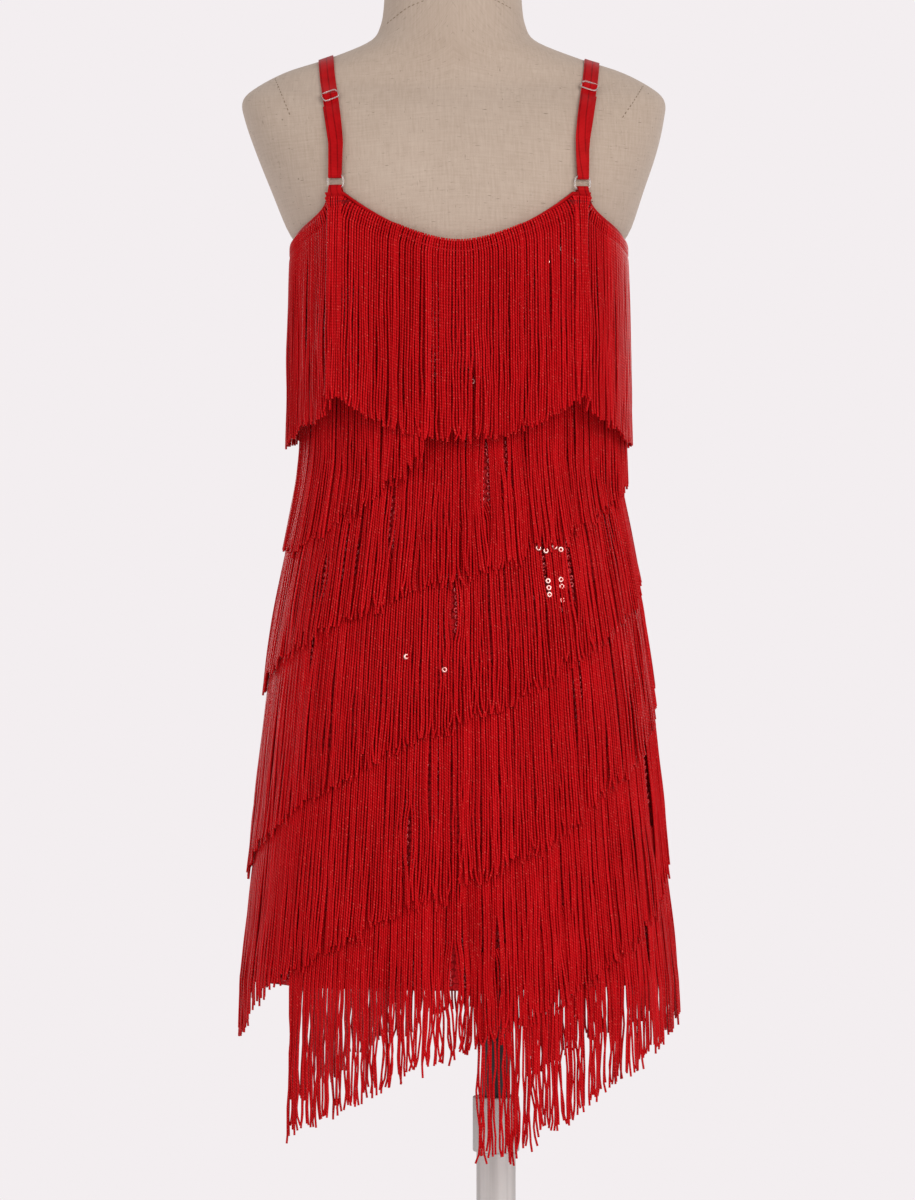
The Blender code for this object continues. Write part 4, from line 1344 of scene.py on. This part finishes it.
# %% Sew the gimp, the patches and the form's seams
PATCH_ROWS, PATCH_HALF, PATCH_DROP, PATCH_STEP = 7, 0.0085, 0.0070, 0.0010
for label, side in (("back", 1), ("front", -1)):
    row = [body_point(CLOTH_TABLE, side, turn, float(top_head(turn)) - 0.0084, 0.0030)
           for turn in np.linspace(-89.0, 89.0, 240)]
    sew(f"chain_stitch_{label}", [row], BRIGHT_THREAD, 0.0021, 0.0023, 0.0008)
for label, sign in STRAP_SIGNS.items():
    rows = []
    for row in range(PATCH_ROWS):
        half = PATCH_HALF * (1.0 - row / (PATCH_ROWS + 0.5))
        height = EDGE_TOP - PATCH_DROP - PATCH_STEP * row
        middle = MIDDLE_X + sign * (STRAP_REACH["ring"] - 0.0006 + 0.0003 * row)
        rows.append([back_point(CLOTH_TABLE, middle + half * part, height, 0.0042)
                     for part in np.linspace(-1.0, 1.0, 9)])
    sew(f"patch_stitches_{label}", rows, THREAD, 0.0013, 0.0015, 0.0007)
SEAMS = [                       # across from the middle, and up
    [(-0.137, 1.1535), (-0.131, 1.1385), (-0.125, 1.1235)],
    [(0.137, 1.1475), (0.129, 1.1335), (0.121, 1.1213)],
    [(-0.053, 1.1948), (-0.038, 1.2045), (-0.022, 1.2098), (0.0, 1.2118), (0.023, 1.2113),
     (0.038, 1.2053)],
]
seam_lines = []
for seam in SEAMS:
    spots = np.array(seam)
    at = np.linspace(0.0, len(spots) - 1.0, 24)
    across, up = (np.interp(at, range(len(spots)), values) for values in spots.T)
    seam_lines.append([back_point(FORM_TABLE, MIDDLE_X + float(x), float(height), 0.0001)
                       for x, height in zip(across, up)])
sew("form_seam_stitches", seam_lines, FLAX, 0.0040, 0.0024, 0.0006)
print("stitches: gimp rows 2, patches 2, form seams", len(SEAMS))

# %% [markdown]
# ## Sequins
# Cup sequins, 5 mm across with a hole in the middle, hang in upright chains. They are modelled
# only where the cords part and along the hem, where they can be seen. Each is tipped a little
# its own way, so that a few of them catch the light.

# %% Sequins


def sequin_tree():
    tree, given, out = new_tree("sequins on points", Ring_Radius="NodeSocketFloat",
                                Band_Radius="NodeSocketFloat", Finish="NodeSocketMaterial")
    ring = add_node(tree, "GeometryNodeCurvePrimitiveCircle", {"mode": "RADIUS"}, Resolution=9,
                    Radius=given.outputs["Ring Radius"])
    band = add_node(tree, "GeometryNodeCurvePrimitiveCircle", {"mode": "RADIUS"}, Resolution=4,
                    Radius=given.outputs["Band Radius"])
    solid = add_node(tree, "GeometryNodeCurveToMesh", Curve=ring.outputs["Curve"],
                     Profile_Curve=band.outputs["Curve"])
    flat = add_node(tree, "GeometryNodeTransform", Geometry=solid.outputs["Mesh"],
                    Scale=(1.0, 1.0, 0.40))
    facing = add_node(tree, "GeometryNodeInputNamedAttribute", {"data_type": "FLOAT_VECTOR"},
                      Name="facing")
    turned_to = add_node(tree, "FunctionNodeAlignRotationToVector", {"axis": "Z"},
                         Vector=facing.outputs["Attribute"])
    sewn = add_node(tree, "GeometryNodeInstanceOnPoints", Points=given.outputs["Geometry"],
                    Instance=flat.outputs["Geometry"], Rotation=turned_to.outputs["Rotation"])
    real = add_node(tree, "GeometryNodeRealizeInstances", Geometry=sewn.outputs["Instances"])
    return end_tree(tree, given, out, real.outputs["Geometry"])


SEQUIN_TREE = sequin_tree()
SEQUIN_STEP, CHAIN_TURN = 0.0049, 2.9       # metres down a chain, degrees between chains
WHOLE = 0.2                     # the width that marks a stretch of hem
shown = [(side, parting) for label, side in (("back", 1), ("front", -1))
         for key, rows in TIER_PARTINGS.items() if label in key for parting in rows]
shown += [(side, Parting(turn, HEM + 0.020, HEM + 0.002, WHOLE))
          for side in (1, -1) for turn in (-45.0, 45.0)]
shown += [(1, parting) for parting in TOP_PARTINGS["back"]]
chance = np.random.default_rng(400)
places, facings = [], []
for side, parting in shown:
    hem = parting.width == WHOLE
    for chain in np.arange(-44.0, 45.0, CHAIN_TURN) if hem else (-2.6, 0.0, 2.6):
        height = parting.top + chance.uniform(0.0, SEQUIN_STEP)
        while height > max(parting.bottom, HEM + 0.003):
            turn = parting.turn + chain + chance.normal(0.0, 0.15)
            out = 0.0011 - fold_depth(side, turn, height)
            spot = Vector(body_point(CLOTH_TABLE, side, turn, height, out))
            ahead = Vector(body_point(CLOTH_TABLE, side, turn, height, out + 0.001))
            places.append(spot)
            facings.append((ahead - spot).normalized() + Vector(chance.normal(0.0, 0.22, 3)))
            height -= SEQUIN_STEP * chance.uniform(0.97, 1.06)


def sew_sequins(name, places, facings, finish):
    """A piece of sequins, each at its place and facing its own way."""
    host = new_object(name, places)
    hold(host, "facing", facings, "FLOAT_VECTOR", "vector")
    made = grow(host, SEQUIN_TREE, Ring_Radius=0.0015, Band_Radius=0.0010, Finish=finish)
    made.data.shade_smooth()
    return mount(made, "sequin_cloth")


sequins = sew_sequins("cup_sequins", places, facings, SEQUIN)
print("sequins:", len(places), "faces:", len(sequins.data.polygons))

# %% [markdown]
# A few sequins have worked their way out between the cords, and lie tipped so that they mirror
# the key light. Their places, across from the middle and up, are listed.
# Their colour is that pale pink copy of the red sequins' finish: a painted highlight on top of the real
# reflection.

# %% Glinting sequins
GLINTS = [(0.0690, 1.0190), (0.0755, 1.0215), (0.0860, 1.0135), (0.0870, 1.0180), (0.0645, 1.0120),
          (0.0580, 0.8030), (0.0635, 0.8010), (0.0700, 0.8040), (0.0745, 0.8020),
          (0.0650, 0.7790), (0.0655, 0.7740), (0.0660, 0.7690), (0.0745, 0.7800), (0.0750, 0.7750),
          (0.0755, 0.7650), (-0.0380, 0.7240), (-0.0105, 0.7145), (0.0100, 0.9250)]
MIRROR = Vector((0.26, -0.957, 0.127))      # halfway from the camera to the key light
spots = [Vector(back_point(CLOTH_TABLE, MIDDLE_X + x, height, 0.0098 if height > 1.0 else 0.0050))
         for x, height in GLINTS]
tips = [MIRROR + Vector(chance.normal(0.0, 0.05, 3)) for _ in GLINTS]
# Painted highlight: these sequins take the pale pink finish, not the red of the rest.
glints = sew_sequins("glinting_sequins", spots, tips, PAINTED_GLINT_SEQUIN)
print("glints:", len(GLINTS))

# %% [markdown]
# ## Rings and sliders
# Both are moulded to a round wire about a millimetre and a half thick. The ring is a rounded
# square. The slider is a frame with a bar across its middle, over which the strap doubles; it
# sits a little askew, as on the worn dress.

# %% Rings and sliders
WIRE_SIDES, RING_POINTS, SLIDER_POINTS, BAR_POINTS = 10, 56, 64, 32
SLIDER_WIRE, SLIDER_HALF_WIDTH, SLIDER_HALF_HEIGHT, SLIDER_LIFT = 0.00050, 0.0059, 0.0043, 0.0034
BAR_HALF_HEIGHT, BAR_DROP = 0.0004, 0.0009
SLIDER_TURN = {"left": 16.0, "right": -11.0}        # degrees that a slider sits askew


def wire_loop(name, loops, radius):
    """Closed wires, each from its middle line and the direction it lies square to."""
    points, faces = [], []
    for line, out in loops:
        faces += ring_faces(len(line), WIRE_SIDES, len(points), closed=True)
        for i, middle in enumerate(line):
            run = (line[(i + 1) % len(line)] - line[i - 1]).normalized()
            side = run.cross(out).normalized()
            for j in range(WIRE_SIDES):
                roll = 2 * math.pi * j / WIRE_SIDES
                points.append(middle + (side * math.cos(roll) + out * math.sin(roll)) * radius)
    made = new_object(name, points, faces, finish=CLEAR)
    face_outward(made)
    return made


def rounded_square(centre, across, run, half_width, half_height, power, count):
    """Middle line of a rounded square wire."""
    line = []
    for i in range(count):
        turn = 2 * math.pi * i / count
        x, y = math.cos(turn), math.sin(turn)
        line.append(centre + across * math.copysign(abs(x)**(2 / power), x) * half_width
                    + run * math.copysign(abs(y)**(2 / power), y) * half_height)
    return line


for label in STRAP_SIGNS:
    track = TRACKS[label]
    point, out, run, across = spot_on(track, length_to(track, RING_HEIGHT[label]))
    line = rounded_square(point + out * RING_LIFT, across, run, RING_HALF_WIDTH + 0.0006,
                          RING_HALF_HEIGHT, 3.2, RING_POINTS)
    mount(wire_loop(f"moulded_ring_{label}", [(line, out)], RING_WIRE * 0.85), "clear_plastic",
          f"ring_{label}")
    point, out, run, across = spot_on(track, SLIDERS[label])
    skew = -math.radians(SLIDER_TURN[label])
    across, run = (across * math.cos(skew) + run * math.sin(skew),
                   run * math.cos(skew) - across * math.sin(skew))
    centre = point + out * SLIDER_LIFT
    outline = rounded_square(centre, across, run, SLIDER_HALF_WIDTH, SLIDER_HALF_HEIGHT, 5.0,
                             SLIDER_POINTS)
    bar = rounded_square(centre - out * BAR_DROP, across, run, SLIDER_HALF_WIDTH, BAR_HALF_HEIGHT,
                         8.0, BAR_POINTS)
    mount(wire_loop(f"moulded_slider_{label}", [(outline, out), (bar, out)], SLIDER_WIRE),
          "clear_plastic", f"slider_{label}")
print("rings and sliders: 2 and 2")

# %% [markdown]
# ## Pole, collar and base
# These are turned pieces: a profile of radius and height, spun about the pole's axis. The
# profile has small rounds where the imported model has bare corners, because a bare corner never
# catches the light.

# %% Turned stand
ROUND_STEPS = 72


def circle(count):
    """Points of a unit circle."""
    turns = [2 * math.pi * i / count for i in range(count)]
    return [(math.cos(turn), math.sin(turn)) for turn in turns]


def turned(name, profile, finish, slot, bored=False):
    """A round piece from its profile; a bored one closes on itself, a solid one on the axis."""
    points = [(radius * x, radius * y, height) for radius, height in profile
              for x, y in circle(ROUND_STEPS)]
    faces = ring_faces(len(profile), ROUND_STEPS, closed=bored)
    if not bored:
        faces += end_caps(len(profile), ROUND_STEPS)
    piece = new_object(name, points, faces, finish=finish)
    face_outward(piece)
    piece.data.set_sharp_from_angle(angle=math.radians(35.0))
    return mount(piece, slot, name.replace("turned_", ""))


def softened(radius, low, high, small):
    """The outside of a cylinder from low to high, its two corners rounded in three steps."""
    corner = [(math.sin(a), 1 - math.cos(a)) for a in (0.0, 0.52, 1.05, math.pi / 2)]
    bottom = [(radius - small * (1 - s), low + small * c) for s, c in corner]
    top = [(radius - small * c, high - small * (1 - s)) for s, c in corner]
    return bottom + top


def ring_profile(node, bore, small):
    """The closed profile of a sleeve: its packed outside, softened, and its bore."""
    low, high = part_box(node)
    return softened(high.x, low.z, high.z, small) + [(bore, high.z), (bore, low.z)]


rod_low, rod_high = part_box("stand_rod")
base_low, base_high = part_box("stand_base")
rod = rod_high.x
turned("turned_stand_rod", softened(rod, rod_low.z, rod_high.z, 0.0008), BLACK, "black_steel")
Sleeve = namedtuple("Sleeve", "node clear small finish slot")
for sleeve in (Sleeve("form_socket", 0.0003, 0.0010, BLACK, "black_steel"),
               Sleeve("stand_collar", 0.0003, 0.0009, GREY, "grey_steel"),
               Sleeve("stand_tube", 0.0005, 0.0006, GREY, "grey_steel")):
    turned(f"turned_{sleeve.node}", ring_profile(sleeve.node, rod + sleeve.clear, sleeve.small),
           sleeve.finish, sleeve.slot, True)
HUB_RADIUS, PLATE = 0.028, 0.008
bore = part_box("stand_tube")[1].x + 0.0003
base_profile = softened(base_high.x, base_low.z, PLATE, 0.002)
base_profile += [(HUB_RADIUS + 0.004, PLATE), (HUB_RADIUS + 0.0012, PLATE + 0.0012),
                 (HUB_RADIUS, PLATE + 0.004), (HUB_RADIUS, base_high.z - 0.0012),
                 (HUB_RADIUS - 0.0012, base_high.z), (bore, base_high.z), (bore, PLATE)]
turned("turned_stand_base", base_profile, GREY, "grey_steel")
print("base across mm:", round(base_high.x * 2000))

# %% [markdown]
# ## Floor and lights
# A round pale floor, and pale light from all round, so that the dress can be looked at from any
# side. Two large soft panels stand at its back, a little stronger from the right, and two weaker
# ones light its front and sides. The camera sees the surroundings as paper white, while they
# light the dress more dimly, so that the shadows between the strings stay deep red.

# %% Floor and lights
FLOOR_RADIUS, FLOOR_SIDES = 2.1, 96


def floor_finish():
    finish, tree, shader = new_finish("studio_paper", Roughness=0.95)
    paint(tree, shader, noise(tree, place_in(tree), 3.0), [(0.3, "#F3F1F3"), (0.7, "#F6F4F6")])
    return finish


rim = [(FLOOR_RADIUS * x, FLOOR_RADIUS * y, 0.0) for x, y in circle(FLOOR_SIDES)]
new_object("studio_floor", rim, [list(range(FLOOR_SIDES))], finish=floor_finish())

world = bpy.data.worlds.new("studio")
world.use_nodes = True
surround = world.node_tree
dim = surround.nodes["Background"]
dim.inputs["Color"].default_value = colour("#F4F3F6")
dim.inputs["Strength"].default_value = 0.60
seen = add_node(surround, "ShaderNodeBackground", Color=colour("#F3EEF0"), Strength=1.0)
path = add_node(surround, "ShaderNodeLightPath")
either = add_node(surround, "ShaderNodeMixShader", _0=path.outputs["Is Camera Ray"],
                  _1=dim.outputs["Background"], _2=seen.outputs["Background"])
surround.links.new(either.outputs["Shader"], surround.nodes["World Output"].inputs["Surface"])
bpy.context.scene.world = world
PANEL_SIZE, AIM = 1.8, Vector((0.0, 0.0, 0.75))
Panel = namedtuple("Panel", "name place power")
PANELS = [Panel("key", (1.6, -2.6, 2.0), 46.0), Panel("fill", (-1.9, -2.5, 1.5), 17.0),
          Panel("front right", (1.7, 2.6, 1.9), 24.0), Panel("front left", (-1.9, 2.4, 1.6), 18.0)]
for panel in PANELS:
    data = bpy.data.lights.new(panel.name, "AREA")
    data.size = PANEL_SIZE
    data.energy = panel.power
    data.color = colour("#FFFDFB")[:3]
    light = bpy.data.objects.new(panel.name, data)
    light.location = panel.place
    towards = AIM - Vector(panel.place)
    light.rotation_euler = towards.to_track_quat("-Z", "Y").to_euler()
    bpy.context.scene.collection.objects.link(light)
bpy.context.scene.view_settings.view_transform = "Standard"
print("lights:", [panel.name for panel in PANELS])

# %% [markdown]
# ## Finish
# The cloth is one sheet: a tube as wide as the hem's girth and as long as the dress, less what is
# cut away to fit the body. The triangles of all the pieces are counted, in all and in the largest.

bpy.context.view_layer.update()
triangles = {piece.name: sum(len(face.vertices) - 2 for face in piece.data.polygons)
             for piece in bpy.data.objects if piece.type == "MESH"}
print("triangles:", sum(triangles.values()), "most in one piece:", max(triangles.values()))
